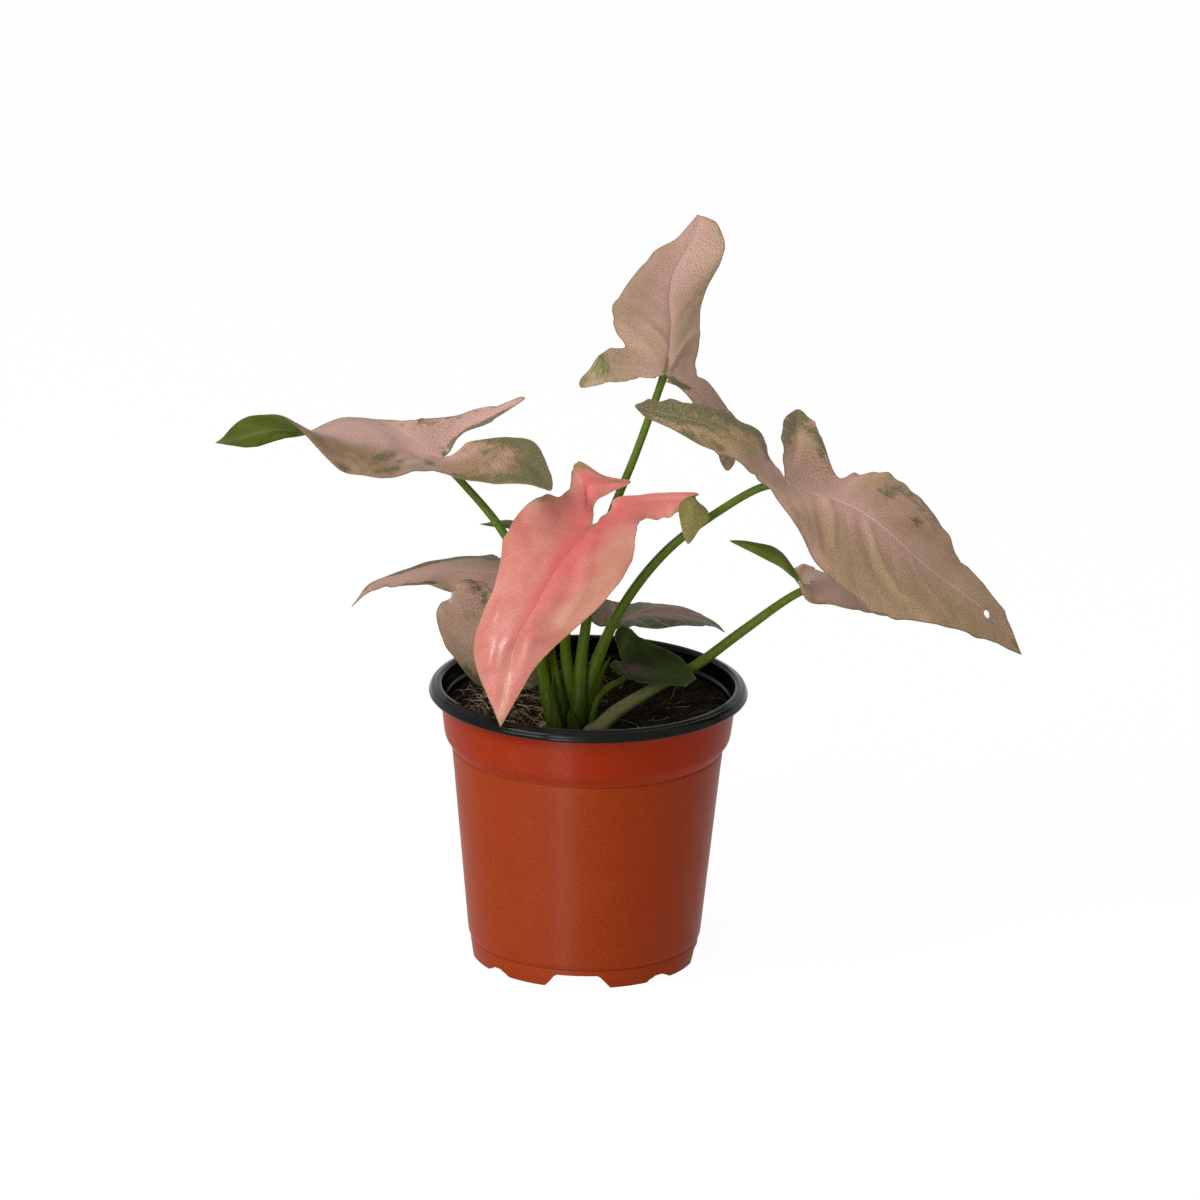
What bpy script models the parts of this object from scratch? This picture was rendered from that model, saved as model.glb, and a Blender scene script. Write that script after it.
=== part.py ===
"""Potted syngonium: a two-tone nursery pot, its potting mix, and ten arrowhead leaves.

Units are metres, +Z is up and the pot stands on Z = 0. Distances in the tables are millimetres from
the pot's axis: X to the right, Y away from the front, Z up.
"""
import math

import bmesh
import bpy
import numpy as np
from mathutils import Matrix, Vector
from mathutils.geometry import delaunay_2d_cdt

MM = 0.001
GAP = 0.3               # between pieces that touch, mm
DEFAULT_SHARP_ANGLE = 40.0
WELD_WITHIN = 1e-7      # points of a turned solid closer than this are one, m

# ---- pot, mm -----------------------------------------------------------------------------------
POT_AXIS_X = -10.3      # the crown leans out to the right, so the whole plant is centred here
RIM_R = 54.0
FOOT_R = 38.4
SKIRT_IN_R = 36.4
FLOOR_UNDER_Z = 4.5
FLOOR_TOP_Z = 5.6
FLOOR_R = 37.5
WALL_SEGMENTS = 96
POT_SHARP_ANGLE = 25.0  # degrees; gentler edges of the wall are shaded smooth

BIG_GAP_AT = (-3.2, 86.8, 176.8, 266.8)         # degrees from the front, + to the right
BIG_GAP_HALF = (16.7, 11.0)                     # half width at the bottom and at the top, degrees
BIG_GAP_TOP = 4.2
SMALL_NOTCH_AT = (-49.0, 41.5, 131.8, 221.8)
SMALL_NOTCH_HALF = (8.0, 3.6)
SMALL_NOTCH_TOP = 2.0
NOTCH_CUT_BELOW = 1.0   # how far a cutter reaches under the foot, mm
NOTCH_CUT_IN_R = 33.4   # where a cutter starts, inside the skirt

DRAIN_HOLE_R = 4.5
DRAIN_HOLE_AT_R = 26.0
DRAIN_HOLE_SEGMENTS = 24
DRAIN_CUT_DEPTH = 4.0    # a cutter through the floor, mm

# Radius and height down the outside of the pot, from the lip to the foot.
POT_OUTSIDE = [
    (50.0, 96.0), (50.6, 96.3), (51.6, 96.1), (52.8, 95.4), (53.7, 94.2), (RIM_R, 93.0), (53.6, 92.6),
    (50.2, 92.6), (49.6, 88.0), (48.6, 79.6), (48.35, 78.4), (47.2, 76.2), (46.1, 74.5), (45.85, 73.6),
    (45.15, 66.0), (39.75, 10.0), (39.4, 7.6), (38.8, 6.4), (38.7, 4.5), (FOOT_R, 0.0),
]
# Up the inside: under the floor, over it, then up the wall to the lip.
POT_UNDERSIDE = [(SKIRT_IN_R, 0.0), (SKIRT_IN_R, FLOOR_UNDER_Z), (0.0, FLOOR_UNDER_Z)]
POT_INSIDE = [
    (0.0, FLOOR_TOP_Z), (FLOOR_R, FLOOR_TOP_Z), (38.8, 8.0), (44.8, 73.2), (45.2, 74.6), (46.2, 76.4),
    (47.3, 79.0), (48.4, 89.5), (49.2, 90.3), (49.3, 95.0),
]

# ---- potting mix and crown, mm -----------------------------------------------------------------
MIX_SURFACE_Z = 84.0
MIX_RISE_AT_WALL = 5.0
MIX_WALL_Z = (FLOOR_TOP_Z + GAP, 8.0, 73.2, 74.6, 76.4, 79.0)   # heights where the mix meets the wall
MIX_SURFACE_R = (40.0, 32.0, 24.0, 12.0)                        # rings of its surface
CROWN_AT = (-4.8, -15.0)
CROWN_R = 12.0
CROWN_Z = (71.3, 79.0)
CROWN_EDGE = 1.0        # bevel round its top and bottom
CROWN_SEGMENTS = 48
PIT_CUT_TOP_Z = 100.0

# ---- leaves, mm --------------------------------------------------------------------------------
BLADE_T = 0.7
BLADE_GRID = 4.0        # mesh size on a blade; a small blade takes a share of its length or width
BLADE_GRID_OF_LENGTH = 0.2
BLADE_GRID_OF_WIDTH = 0.6
GRID_MARGIN = 0.45      # share of the mesh size that grid points keep off the outline
OUTLINE_STEP = 3.0
MERGE_WITHIN = 1e-4     # points closer than this are one, mm
NORMAL_STEP = 0.5       # how far apart the points are that give a blade's tilt, mm
JUNCTION_Y = 1.5        # where along the rib the stalk is fixed
STALK_SEAT = 0.4        # between a stalk's end and the blade that it carries
STALK_FIRST_STEP = 6.0
STALK_STEP = 3.0        # spacing of a stalk's rings, in foot radii
STALK_ROUNDNESS = 3

# Stations on a flat blade: how far along the rib, and the share of the half width there.
SIDE_STATIONS = [(0.01, 0.72), (0.13, 0.93), (0.30, 1.00), (0.50, 0.90), (0.70, 0.62), (0.87, 0.30)]
# Stations round a basal lobe: share of its length, and of its half width (+ on the outer side).
LOBE_STATIONS = {
    "outer a": (0.38, 1.00), "outer b": (0.74, 0.72), "outer c": (0.90, 0.42), "tip": (1.00, 0.00),
    "inner c": (0.90, -0.40), "inner b": (0.74, -0.60), "inner a": (0.38, -0.55),
}
FIVE = ("outer a", "outer b", "tip", "inner b", "inner a")
SIX_OUTER = ("outer a", "outer b", "outer c", "tip", "inner b", "inner a")
SIX_INNER = ("outer a", "outer b", "tip", "inner c", "inner b", "inner a")
SEVEN = tuple(LOBE_STATIONS)

# Each leaf: the flat blade (length, and for each side its half width, lobe length, lobe spread in
# degrees and lobe half width), then where the rib, the two edges and the lobes lie in the air.
# "stalk" is the petiole's route from the crown, with its radius at the foot and at the blade.
LEAVES = {
    "top_leaf": dict(
        length=66, left=(21, 32, 50, 9), right=(20, 42, 32, 9),
        rib=[(24, 0, 205), (25.5, 16, 218.5), (26.5, 33, 232.5), (34, 44, 248.5)],
        left_edge=[(10, 4, 212.5), (7.5, 8, 217.5), (6, 12, 221.5), (9, 20, 227.5), (16, 30, 234.5),
                   (27.5, 40, 241.5)],
        right_edge=[(33.5, 10, 204.5), (35, 18, 210.5), (35.5, 26, 219), (37.5, 32, 226),
                    (43.5, 38, 238.5), (40, 43, 246.5)],
        left_lobe=(FIVE, [(6.5, 2, 212.5), (1.5, -1, 210), (-4, -6, 203), (2, -7, 203), (16, -3, 204.5)]),
        right_lobe=(FIVE, [(38.5, 11, 199.5), (49, 10, 180), (45.5, 2, 171), (40, 1, 183.5),
                           (31.5, 2, 197.5)]),
        stalk=[(-3.6, -16.2), (-3, -15.5, 97), (-2, -11, 113), (4.5, -4, 149.5), (15, 0, 178.5),
               (20.5, 1, 195)],
        radius=(2.0, 1.25),
    ),
    "left_leaf": dict(
        length=88, left=(24, 42, 38, 10), right=(20, 32, 38, 8),
        rib=[(-50, 0, 175), (-69.5, -4, 181), (-98.5, -13, 187.5), (-125.5, -22, 185)],
        left_edge=[(-52, -15, 174.5), (-59.5, -20, 176), (-69, -24, 175), (-84, -24, 177),
                   (-102.5, -17, 193), (-118, -18, 191.5)],
        right_edge=[(-55.5, 14, 184), (-64.5, 15, 182.5), (-78, 14, 184), (-90.5, 0, 184.5),
                    (-102.5, -14, 185), (-114, -19, 182.5)],
        left_lobe=(SIX_INNER, [(-40.5, -19, 173), (-23, -25, 174), (-14, -24, 172.5), (-17.5, -17, 180),
                               (-22, -12, 185), (-39.5, -5, 182.5)]),
        right_lobe=(FIVE, [(-45.5, 18, 184), (-35, 20, 186.5), (-23.5, 18, 190.5), (-34, 12, 184),
                           (-45, 6, 180)]),
        stalk=[(-10.8, -17.5), (-13, -16, 93.5), (-15.5, -12.5, 104.5), (-20.5, -8.5, 133.5),
               (-30.5, -4, 151.5), (-43.5, 0, 166)],
        radius=(1.9, 1.25),
    ),
    "front_leaf": dict(
        length=76, left=(20, 54, 58, 8), right=(21, 30, 35, 9),
        rib=[(0.5, -22, 159), (-12, -34, 146), (-23.5, -42, 126.5), (-29, -47, 95.5)],
        left_edge=[(15.5, -22, 160), (15, -26, 157), (14, -30, 149.5), (6, -36, 138), (-8, -40, 125),
                   (-19, -44, 113.5)],
        right_edge=[(-10, -16, 167), (-18, -22, 168), (-27, -28, 159.5), (-32, -33, 140.5),
                    (-38.5, -40, 122), (-35, -44, 108.5)],
        left_lobe=(SEVEN, [(22, -20, 160), (29, -21, 164), (39, -26, 163.5), (32.5, -36, 157),
                           (30, -32, 168.5), (36.5, -20, 170), (9, -16, 167)]),
        right_lobe=(SIX_OUTER, [(-6.5, -12, 173.5), (-4, -14, 178), (4.5, -14, 173), (11.5, -14, 172),
                                (5, -14, 167), (1, -16, 163.5)]),
        stalk=[(-4.5, -11), (-5.3, -11.5, 95.5), (-8, -11, 113), (-5, -13, 136), (-1, -18, 153)],
        radius=(1.9, 1.2),
    ),
    "right_leaf": dict(
        length=104, left=(24, 40, 45, 10), right=(32, 62, 22, 10),
        rib=[(64.5, -8, 172), (89.5, -8, 161.5), (115.5, -3, 138.5), (146, 4, 107)],
        left_edge=[(82, 8, 168), (91.5, 12, 167), (102.5, 12, 167), (114.5, 12, 155), (124.5, 11, 139.5),
                   (138, 8, 124)],
        right_edge=[(60, -20, 171.5), (68, -29, 162), (76.5, -34, 149.5), (93, -31, 135.5),
                    (114.5, -22, 126.5), (133, -8, 117)],
        left_lobe=(FIVE, [(78.5, 16, 175), (75, 24, 180.5), (69.5, 28, 185.5), (64, 20, 181),
                          (64.5, 6, 177.5)]),
        right_lobe=(FIVE, [(51, -24, 180), (32.5, -28, 191), (14, -24, 201.5), (36.5, -16, 199),
                           (55, -10, 188.5)]),
        stalk=[(0, -12), (0.2, -12.3, 96), (4.8, -12, 113.5), (13.5, -11, 131), (26.5, -10, 147.5),
               (43, -9, 160.5), (56.5, -8, 168.5)],
        radius=(2.1, 1.3),
    ),
    "lower_right_leaf": dict(
        length=54, left=(16, 20, 45, 6), right=(16, 30, 35, 6),
        rib=[(75, 2, 132.5), (86.5, 8, 129), (99, 18, 122), (112, 28, 114)],
        left_edge=[(79.5, 14, 132), (83, 18, 131.5), (88, 22, 130), (95.5, 27, 126), (103, 30, 122),
                   (108.5, 30, 117.5)],
        right_edge=[(72.5, -8, 129.5), (78, -8, 128.5), (85, -6, 126.5), (92.5, 0, 123),
                    (101.5, 8, 118.5), (107.5, 18, 114.5)],
        left_lobe=(FIVE, [(75, 20, 131.5), (72, 22, 132.5), (69.5, 22, 131.5), (70.5, 16, 132),
                          (73, 8, 133)]),
        right_lobe=(FIVE, [(68, -4, 139.5), (60, -6, 147.5), (46.5, -12, 151), (57.5, -10, 144.5),
                           (67.5, -8, 138)]),
        stalk=[(0.5, -23), (3.5, -20.5, 86.6), (9, -16, 90.6), (21, -6, 95.5), (35, 4, 100.5),
               (51, 8, 112), (67.5, 6, 125.5)],
        radius=(2.3, 1.4),
    ),
    "lower_left_leaf": dict(
        length=62, left=(14, 20, 40, 6), right=(14, 20, 40, 6),
        rib=[(-28, 14, 130), (-46, 18, 129.5), (-64, 20, 125.5), (-81, 16, 116.5)],
        left_edge=[(-28.5, 2, 127), (-35.5, 2, 125.5), (-43.5, 4, 125), (-54, 8, 127.5), (-65, 12, 125),
                   (-74, 14, 122.5)],
        right_edge=[(-28, 26, 131.5), (-33.5, 31, 130.5), (-41, 34, 129.5), (-53.5, 34, 127.5),
                    (-65, 30, 125), (-74.5, 23, 122)],
        left_lobe=(FIVE, [(-18.5, 2, 126), (-13.5, 2, 126), (-10, 4, 127.5), (-13.5, 8, 128.5),
                          (-18.5, 10, 129.5)]),
        right_lobe=(FIVE, [(-19, 30, 130.5), (-14, 32, 129), (-10.5, 30, 128), (-14, 26, 128.5),
                           (-19, 20, 130)]),
        stalk=[(-8.8, -13.3), (-10, -12.5, 95.5), (-12.6, -8, 107), (-14.2, -1, 113), (-16, 4, 119),
               (-22.5, 9.5, 125)],
        radius=(1.8, 1.1),
    ),
    "drooping_leaf": dict(
        length=42, left=(17, 16, 45, 6), right=(20, 18, 50, 7),
        rib=[(-29.5, -4, 122.5), (-30, -2, 110.5), (-30, 0, 100.5), (-28, 2, 91.5)],
        left_edge=[(-19, 0, 121.5), (-17.5, 0, 114.5), (-17, 0, 107.5), (-16.5, 1, 100.5),
                   (-17, 2, 94.5), (-22, 2, 93)],
        right_edge=[(-46, -8, 128.5), (-49, -9, 126.5), (-51.5, -10, 123.5), (-50, -8, 115),
                    (-45.5, -5, 106), (-37.5, 0, 94.5)],
        left_lobe=(FIVE, [(-19, -1, 125), (-18, -2, 127), (-18.5, -3, 129), (-21, -4, 129),
                          (-25, -4, 127)]),
        right_lobe=(FIVE, [(-45.5, -9, 131), (-44, -10, 134), (-40.5, -10, 134.5), (-35.5, -8, 133.5),
                           (-33.5, -6, 130)]),
        stalk=[(-10.5, -8.5), (-11.5, -5, 95), (-13.5, 2, 104), (-18.5, 7, 113.5), (-25, 4, 120)],
        radius=(1.6, 1.1),
    ),
    "back_leaf": dict(
        length=42, left=(12, 18, 45, 5), right=(12, 20, 35, 5),
        rib=[(11, 20, 113), (22, 26, 112.5), (34, 32, 109.5), (46.5, 36, 103)],
        left_edge=[(13, 32, 114), (16.5, 35, 113.5), (20.5, 38, 112.5), (30, 40, 110.5), (38, 40, 108),
                   (43, 39, 105.5)],
        right_edge=[(12.5, 12, 111.5), (15, 12, 112.5), (22, 14, 111), (31, 20, 110), (38.5, 27, 108),
                    (43, 33, 105.5)],
        left_lobe=(FIVE, [(8.5, 34, 114), (4.5, 36, 114), (2, 34, 113.5), (4, 30, 113.5),
                          (7.5, 26, 113.5)]),
        right_lobe=(FIVE, [(9, 10, 112.5), (3.5, 8, 113.5), (0.5, 9, 115), (2, 14, 118), (6, 18, 118)]),
        stalk=[(-2.5, -7), (0.5, -3, 94.5), (4.5, 7, 106), (7.5, 15.5, 110)],
        radius=(1.6, 1.1),
    ),
    "small_leaf": dict(
        length=26, left=(10, 15, 30, 5), right=(9, 12, 55, 5),
        rib=[(11.5, -2, 103.5), (19, -2, 102), (27.5, -3, 100.5), (36.5, -5, 99.5)],
        left_edge=[(17, 6, 110.5), (18.5, 7, 109.5), (21.5, 7, 108), (26.5, 6, 106), (31, 4, 104),
                   (34, 0, 102)],
        right_edge=[(14.5, -9, 100), (16.5, -10, 100), (19.5, -10, 99.5), (24.5, -9, 98.5), (29, -8, 98),
                    (33, -7, 98)],
        left_lobe=(FIVE, [(15.5, 6, 112), (13.5, 7, 113.5), (10.5, 7, 114), (8.5, 6, 111), (10, 3, 106.5)]),
        right_lobe=(FIVE, [(12, -9, 101.5), (9, -10, 103.5), (7, -10, 105.5), (8.5, -8, 106.5),
                           (10, -5, 105.5)]),
        stalk=[(1.3, -17.2), (3, -15, 95), (7, -10, 98), (12.3, -4, 99.4)],
        radius=(1.5, 0.9),
    ),
    "young_leaf": dict(
        length=26, left=(4, 0, 0, 0), right=(4, 0, 0, 0),
        rib=[(-13, 2, 144), (-22, 4, 148.5), (-30, 6, 150), (-37.5, 6, 149.5)],
        left_edge=[(-13.5, 0, 144), (-17, -1, 145), (-20.5, 0, 147), (-24.5, 2, 148.5), (-29.5, 4, 149),
                   (-33.5, 5, 149)],
        right_edge=[(-13.5, 4, 144.5), (-17, 7, 146.5), (-21.5, 8, 148.5), (-25.5, 9, 150),
                    (-30, 9, 150), (-34, 8, 149.5)],
        left_lobe=((), []),
        right_lobe=((), []),
        stalk=[(-7, -8.5), (-7.5, -6.5, 95), (-9, -3, 112), (-11.5, -1, 128.5), (-12.8, 0, 140)],
        radius=(1.2, 0.8),
    ),
}

# ---- colours, roughness ------------------------------------------------------------------------
TERRACOTTA = ((0.45, 0.10, 0.035), 0.45)
MIX_BROWN = ((0.035, 0.022, 0.014), 0.95)
CROWN_BROWN = ((0.10, 0.07, 0.035), 0.8)
STALK_GREEN = ((0.12, 0.20, 0.035), 0.45)
LEAF_COLOURS = {
    "top_leaf": (0.34, 0.21, 0.15),
    "left_leaf": (0.30, 0.20, 0.14),
    "front_leaf": (0.62, 0.20, 0.16),
    "right_leaf": (0.32, 0.19, 0.14),
    "lower_right_leaf": (0.30, 0.18, 0.14),
    "lower_left_leaf": (0.30, 0.19, 0.15),
    "drooping_leaf": (0.24, 0.16, 0.11),
    "back_leaf": (0.12, 0.13, 0.08),
    "small_leaf": (0.05, 0.07, 0.03),
    "young_leaf": (0.16, 0.18, 0.07),
}
LEAF_ROUGHNESS = 0.42


def clear_scene():
    for obj in list(bpy.data.objects):
        bpy.data.objects.remove(obj, do_unlink=True)


def plain_material(name, colour, roughness, metallic=0.0):
    mat = bpy.data.materials.new(name)
    mat.use_nodes = True
    shader = mat.node_tree.nodes["Principled BSDF"]
    shader.inputs["Base Color"].default_value = (*colour, 1.0)
    shader.inputs["Roughness"].default_value = roughness
    shader.inputs["Metallic"].default_value = metallic
    mat.diffuse_color = (*colour, 1.0)
    return mat


def add_object(name, data, parent, mat):
    obj = bpy.data.objects.new(name, data)
    bpy.context.scene.collection.objects.link(obj)
    obj.parent = parent
    if mat is not None:
        data.materials.append(mat)
    return obj


def mesh_object(name, bm, parent, mat, sharp_angle=DEFAULT_SHARP_ANGLE):
    bmesh.ops.recalc_face_normals(bm, faces=bm.faces)
    mesh = bpy.data.meshes.new(name)
    bm.to_mesh(mesh)
    bm.free()
    mesh.shade_smooth()
    mesh.set_sharp_from_angle(angle=math.radians(sharp_angle))
    return add_object(name, mesh, parent, mat)


def turned(profile, segments, centre=(0.0, 0.0)):
    """A closed solid of revolution about a vertical axis; the profile starts and ends on the axis or
    closes on itself."""
    bm = bmesh.new()
    points = [bm.verts.new(Vector((r, 0.0, z)) * MM) for r, z in profile]
    edges = [bm.edges.new(pair) for pair in zip(points, points[1:])]
    if profile[0][0] > 0.0:
        edges.append(bm.edges.new((points[-1], points[0])))
    bmesh.ops.spin(bm, geom=points + edges, cent=(0, 0, 0), axis=(0, 0, 1), angle=math.tau,
                   steps=segments, use_merge=True, use_duplicate=False)
    bmesh.ops.remove_doubles(bm, verts=bm.verts, dist=WELD_WITHIN)
    bmesh.ops.translate(bm, verts=bm.verts, vec=Vector((*centre, 0.0)) * MM)
    return bm


# ---- pot ---------------------------------------------------------------------------------------
def front_angle(degrees):
    """Unit direction in plan for an angle from the front, + to the right."""
    a = math.radians(degrees)
    return Vector((math.sin(a), -math.cos(a), 0.0))


def notch_cutter(name, parent, at, half, top):
    """A wedge that cuts a trapezoid out of the skirt: wide at the bottom, narrower at the top."""
    half_low, half_high = half
    widening = (half_low - half_high) / top * NOTCH_CUT_BELOW
    corners = [(half_low + widening, -NOTCH_CUT_BELOW), (half_high, top)]
    bm = bmesh.new()
    rings = []
    for r in (NOTCH_CUT_IN_R, RIM_R):
        ring = [bm.verts.new((front_angle(at - w) * r + Vector((0, 0, z))) * MM) for w, z in corners]
        ring += [bm.verts.new((front_angle(at + w) * r + Vector((0, 0, z))) * MM)
                 for w, z in reversed(corners)]
        rings.append(ring)
    bm.faces.new(rings[0])
    bm.faces.new(reversed(rings[1]))
    for i in range(4):
        j = (i + 1) % 4
        bm.faces.new((rings[0][i], rings[0][j], rings[1][j], rings[1][i]))
    return as_cutter(mesh_object(name, bm, parent, None))


def drain_cutter(name, parent, at):
    bm = bmesh.new()
    spot = front_angle(at) * DRAIN_HOLE_AT_R + Vector((0, 0, FLOOR_UNDER_Z))
    bmesh.ops.create_cone(bm, cap_ends=True, segments=DRAIN_HOLE_SEGMENTS, radius1=DRAIN_HOLE_R * MM,
                          radius2=DRAIN_HOLE_R * MM, depth=DRAIN_CUT_DEPTH * MM,
                          matrix=Matrix.Translation(spot * MM))
    return as_cutter(mesh_object(name, bm, parent, None))


def as_cutter(obj):
    obj.hide_render = True
    obj.display_type = "WIRE"
    return obj


def build_pot(parent):
    bm = turned(POT_OUTSIDE + POT_UNDERSIDE + POT_INSIDE, WALL_SEGMENTS)
    pot = mesh_object("pot", bm, parent, plain_material("terracotta_plastic", *TERRACOTTA),
                      POT_SHARP_ANGLE)
    cutters = []
    for k, at in enumerate(BIG_GAP_AT):
        cutters.append(notch_cutter(f"cut_gap_{k}", parent, at, BIG_GAP_HALF, BIG_GAP_TOP))
        cutters.append(drain_cutter(f"cut_drain_{k}", parent, at))
    for k, at in enumerate(SMALL_NOTCH_AT):
        cutters.append(notch_cutter(f"cut_notch_{k}", parent, at, SMALL_NOTCH_HALF, SMALL_NOTCH_TOP))
    for cutter in cutters:
        cut = pot.modifiers.new(cutter.name, "BOOLEAN")
        cut.operation = "DIFFERENCE"
        cut.solver = "EXACT"
        cut.object = cutter


# ---- potting mix and crown ---------------------------------------------------------------------
def mix_height(r):
    return MIX_SURFACE_Z + MIX_RISE_AT_WALL * (r / wall_radius(MIX_SURFACE_Z)) ** 2


def wall_radius(z):
    """The pot's inside radius at a height."""
    heights = [p[1] for p in POT_INSIDE[1:]]
    radii = [p[0] for p in POT_INSIDE[1:]]
    return float(np.interp(z, heights, radii))


def build_mix(parent):
    """Mix that fills the pot, domed up to the wall, with a pit for the crown."""
    wall = [(wall_radius(z) - GAP, z) for z in MIX_WALL_Z]
    top_r = wall_radius(MIX_SURFACE_Z + MIX_RISE_AT_WALL) - GAP
    surface = [(r, mix_height(r)) for r in (top_r, *MIX_SURFACE_R)]
    profile = [(0.0, MIX_WALL_Z[0])] + wall + surface + [(0.0, MIX_SURFACE_Z)]
    mix = mesh_object("potting_mix", turned(profile, WALL_SEGMENTS), parent,
                      plain_material("potting_mix", *MIX_BROWN))
    bottom, side = CROWN_Z[0] - GAP, CROWN_R + GAP
    pit = [(0.0, bottom), (side, bottom), (side, PIT_CUT_TOP_Z), (0.0, PIT_CUT_TOP_Z)]
    cutter = as_cutter(mesh_object("cut_pit", turned(pit, CROWN_SEGMENTS, CROWN_AT), parent, None))
    cut = mix.modifiers.new("pit", "BOOLEAN")
    cut.operation = "DIFFERENCE"
    cut.solver = "EXACT"
    cut.object = cutter


def build_crown(parent):
    low, high = CROWN_Z
    profile = [(0.0, low), (CROWN_R - CROWN_EDGE, low), (CROWN_R, low + CROWN_EDGE),
               (CROWN_R, high - CROWN_EDGE), (CROWN_R - CROWN_EDGE, high), (0.0, high)]
    mesh_object("crown", turned(profile, CROWN_SEGMENTS, CROWN_AT), parent,
                plain_material("crown", *CROWN_BROWN))


# ---- leaves ------------------------------------------------------------------------------------
def flat_side(leaf, side):
    """Flat positions of a side's edge stations and of its lobe's stations."""
    sign = -1.0 if side == "left" else 1.0
    width, lobe, spread, lobe_width = leaf[side]
    edge = [(sign * share * width, along * leaf["length"]) for along, share in SIDE_STATIONS]
    a = math.radians(spread)
    out = Vector((sign * math.sin(a), -math.cos(a)))
    across = Vector((sign * math.cos(a), math.sin(a)))
    names = leaf[side + "_lobe"][0]
    round_lobe = []
    for name in names:
        share, shift = LOBE_STATIONS[name]
        round_lobe.append(tuple(out * share * lobe + across * shift * lobe_width))
    return edge, round_lobe


def flat_rib(leaf):
    return [(0.0, leaf["length"] * k / 3.0) for k in range(4)]


def smooth_path(points, step):
    """Points along a centripetal Catmull-Rom curve through the given ones, about a step apart."""
    p = np.array(points, dtype=float)
    p = np.vstack([2 * p[0] - p[1], p, 2 * p[-1] - p[-2]])
    path = []
    for a, b, c, d in zip(p[:-3], p[1:-2], p[2:-1], p[3:]):
        t = np.cumsum([0.0] + [np.linalg.norm(v) ** 0.5 for v in (b - a, c - b, d - c)])
        count = max(1, round(float(np.linalg.norm(c - b)) / step))
        for s in np.linspace(t[1], t[2], count, endpoint=False):
            ab = a + (b - a) * (s - t[0]) / (t[1] - t[0])
            bc = b + (c - b) * (s - t[1]) / (t[2] - t[1])
            cd = c + (d - c) * (s - t[2]) / (t[3] - t[2])
            left = ab + (bc - ab) * (s - t[0]) / (t[2] - t[0])
            right = bc + (cd - bc) * (s - t[1]) / (t[3] - t[1])
            path.append(left + (right - left) * (s - t[1]) / (t[2] - t[1]))
    path.append(p[-2])
    return np.array(path)


def flat_outline(leaf):
    """The closed outline of the flat blade, once round from the sinus."""
    halves = []
    for side in ("left", "right"):
        edge, lobe = flat_side(leaf, side)
        stations = [(0.0, 0.0)] + lobe[::-1] + edge + [(0.0, leaf["length"])]
        halves.append(smooth_path(stations, OUTLINE_STEP))
    return np.vstack([halves[0], halves[1][-2:0:-1]])


def bend(leaf):
    """A thin-plate map from the flat blade to the place where the leaf hangs in the air."""
    flat, real = flat_rib(leaf), list(leaf["rib"])
    for side in ("left", "right"):
        edge, lobe = flat_side(leaf, side)
        flat += edge + lobe
        real += leaf[side + "_edge"] + leaf[side + "_lobe"][1]
    flat = np.array(flat)
    real = np.array(real, dtype=float)

    def kernel(points):
        square = np.sum((points[:, None] - flat[None]) ** 2, axis=2)
        return np.where(square > 1e-9, square * np.log(np.maximum(square, 1e-9)), 0.0)

    n = len(flat)
    affine = np.column_stack([np.ones(n), flat])
    system = np.zeros((n + 3, n + 3))
    system[:n, :n] = kernel(flat)
    system[:n, n:] = affine
    system[n:, :n] = affine.T
    weights = np.linalg.solve(system, np.vstack([real, np.zeros((3, 3))]))

    def place(points):
        points = np.atleast_2d(np.asarray(points, dtype=float))
        flat_part = np.column_stack([np.ones(len(points)), points]) @ weights[n:]
        return kernel(points) @ weights[:n] + flat_part

    return place


def upper_normal(place, point):
    """The direction that the leaf's upper face looks in at a flat point."""
    x, y = point
    h = NORMAL_STEP
    across = place((x + h, y))[0] - place((x - h, y))[0]
    along = place((x, y + h))[0] - place((x, y - h))[0]
    return Vector(np.cross(across, along)).normalized()


def inside_points(outline, step):
    """A triangular grid of points inside the outline, kept off its edge."""
    low, high = outline.min(axis=0), outline.max(axis=0)
    row_height = step * math.sqrt(3) / 2
    found = []
    for row in range(int((high[1] - low[1]) / row_height) + 1):
        y = low[1] + row * row_height
        for col in range(int((high[0] - low[0]) / step) + 2):
            x = low[0] + (col + 0.5 * (row % 2)) * step
            if inside_by((x, y), outline, GRID_MARGIN * step):
                found.append((x, y))
    return found


def inside_by(point, outline, margin):
    """Whether a point lies inside the outline, at least the margin away from it."""
    ahead = np.roll(outline, -1, axis=0)
    span = ahead - outline
    to = np.array(point) - outline
    share = np.clip(np.sum(to * span, axis=1) / np.sum(span * span, axis=1), 0.0, 1.0)
    nearest = np.min(np.linalg.norm(to - share[:, None] * span, axis=1))
    crosses = (outline[:, 1] > point[1]) != (ahead[:, 1] > point[1])
    at = outline[:, 0] + to[:, 1] * span[:, 0] / np.where(span[:, 1] == 0, 1.0, span[:, 1])
    return nearest > margin and np.count_nonzero(crosses & (at > point[0])) % 2 == 1


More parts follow.
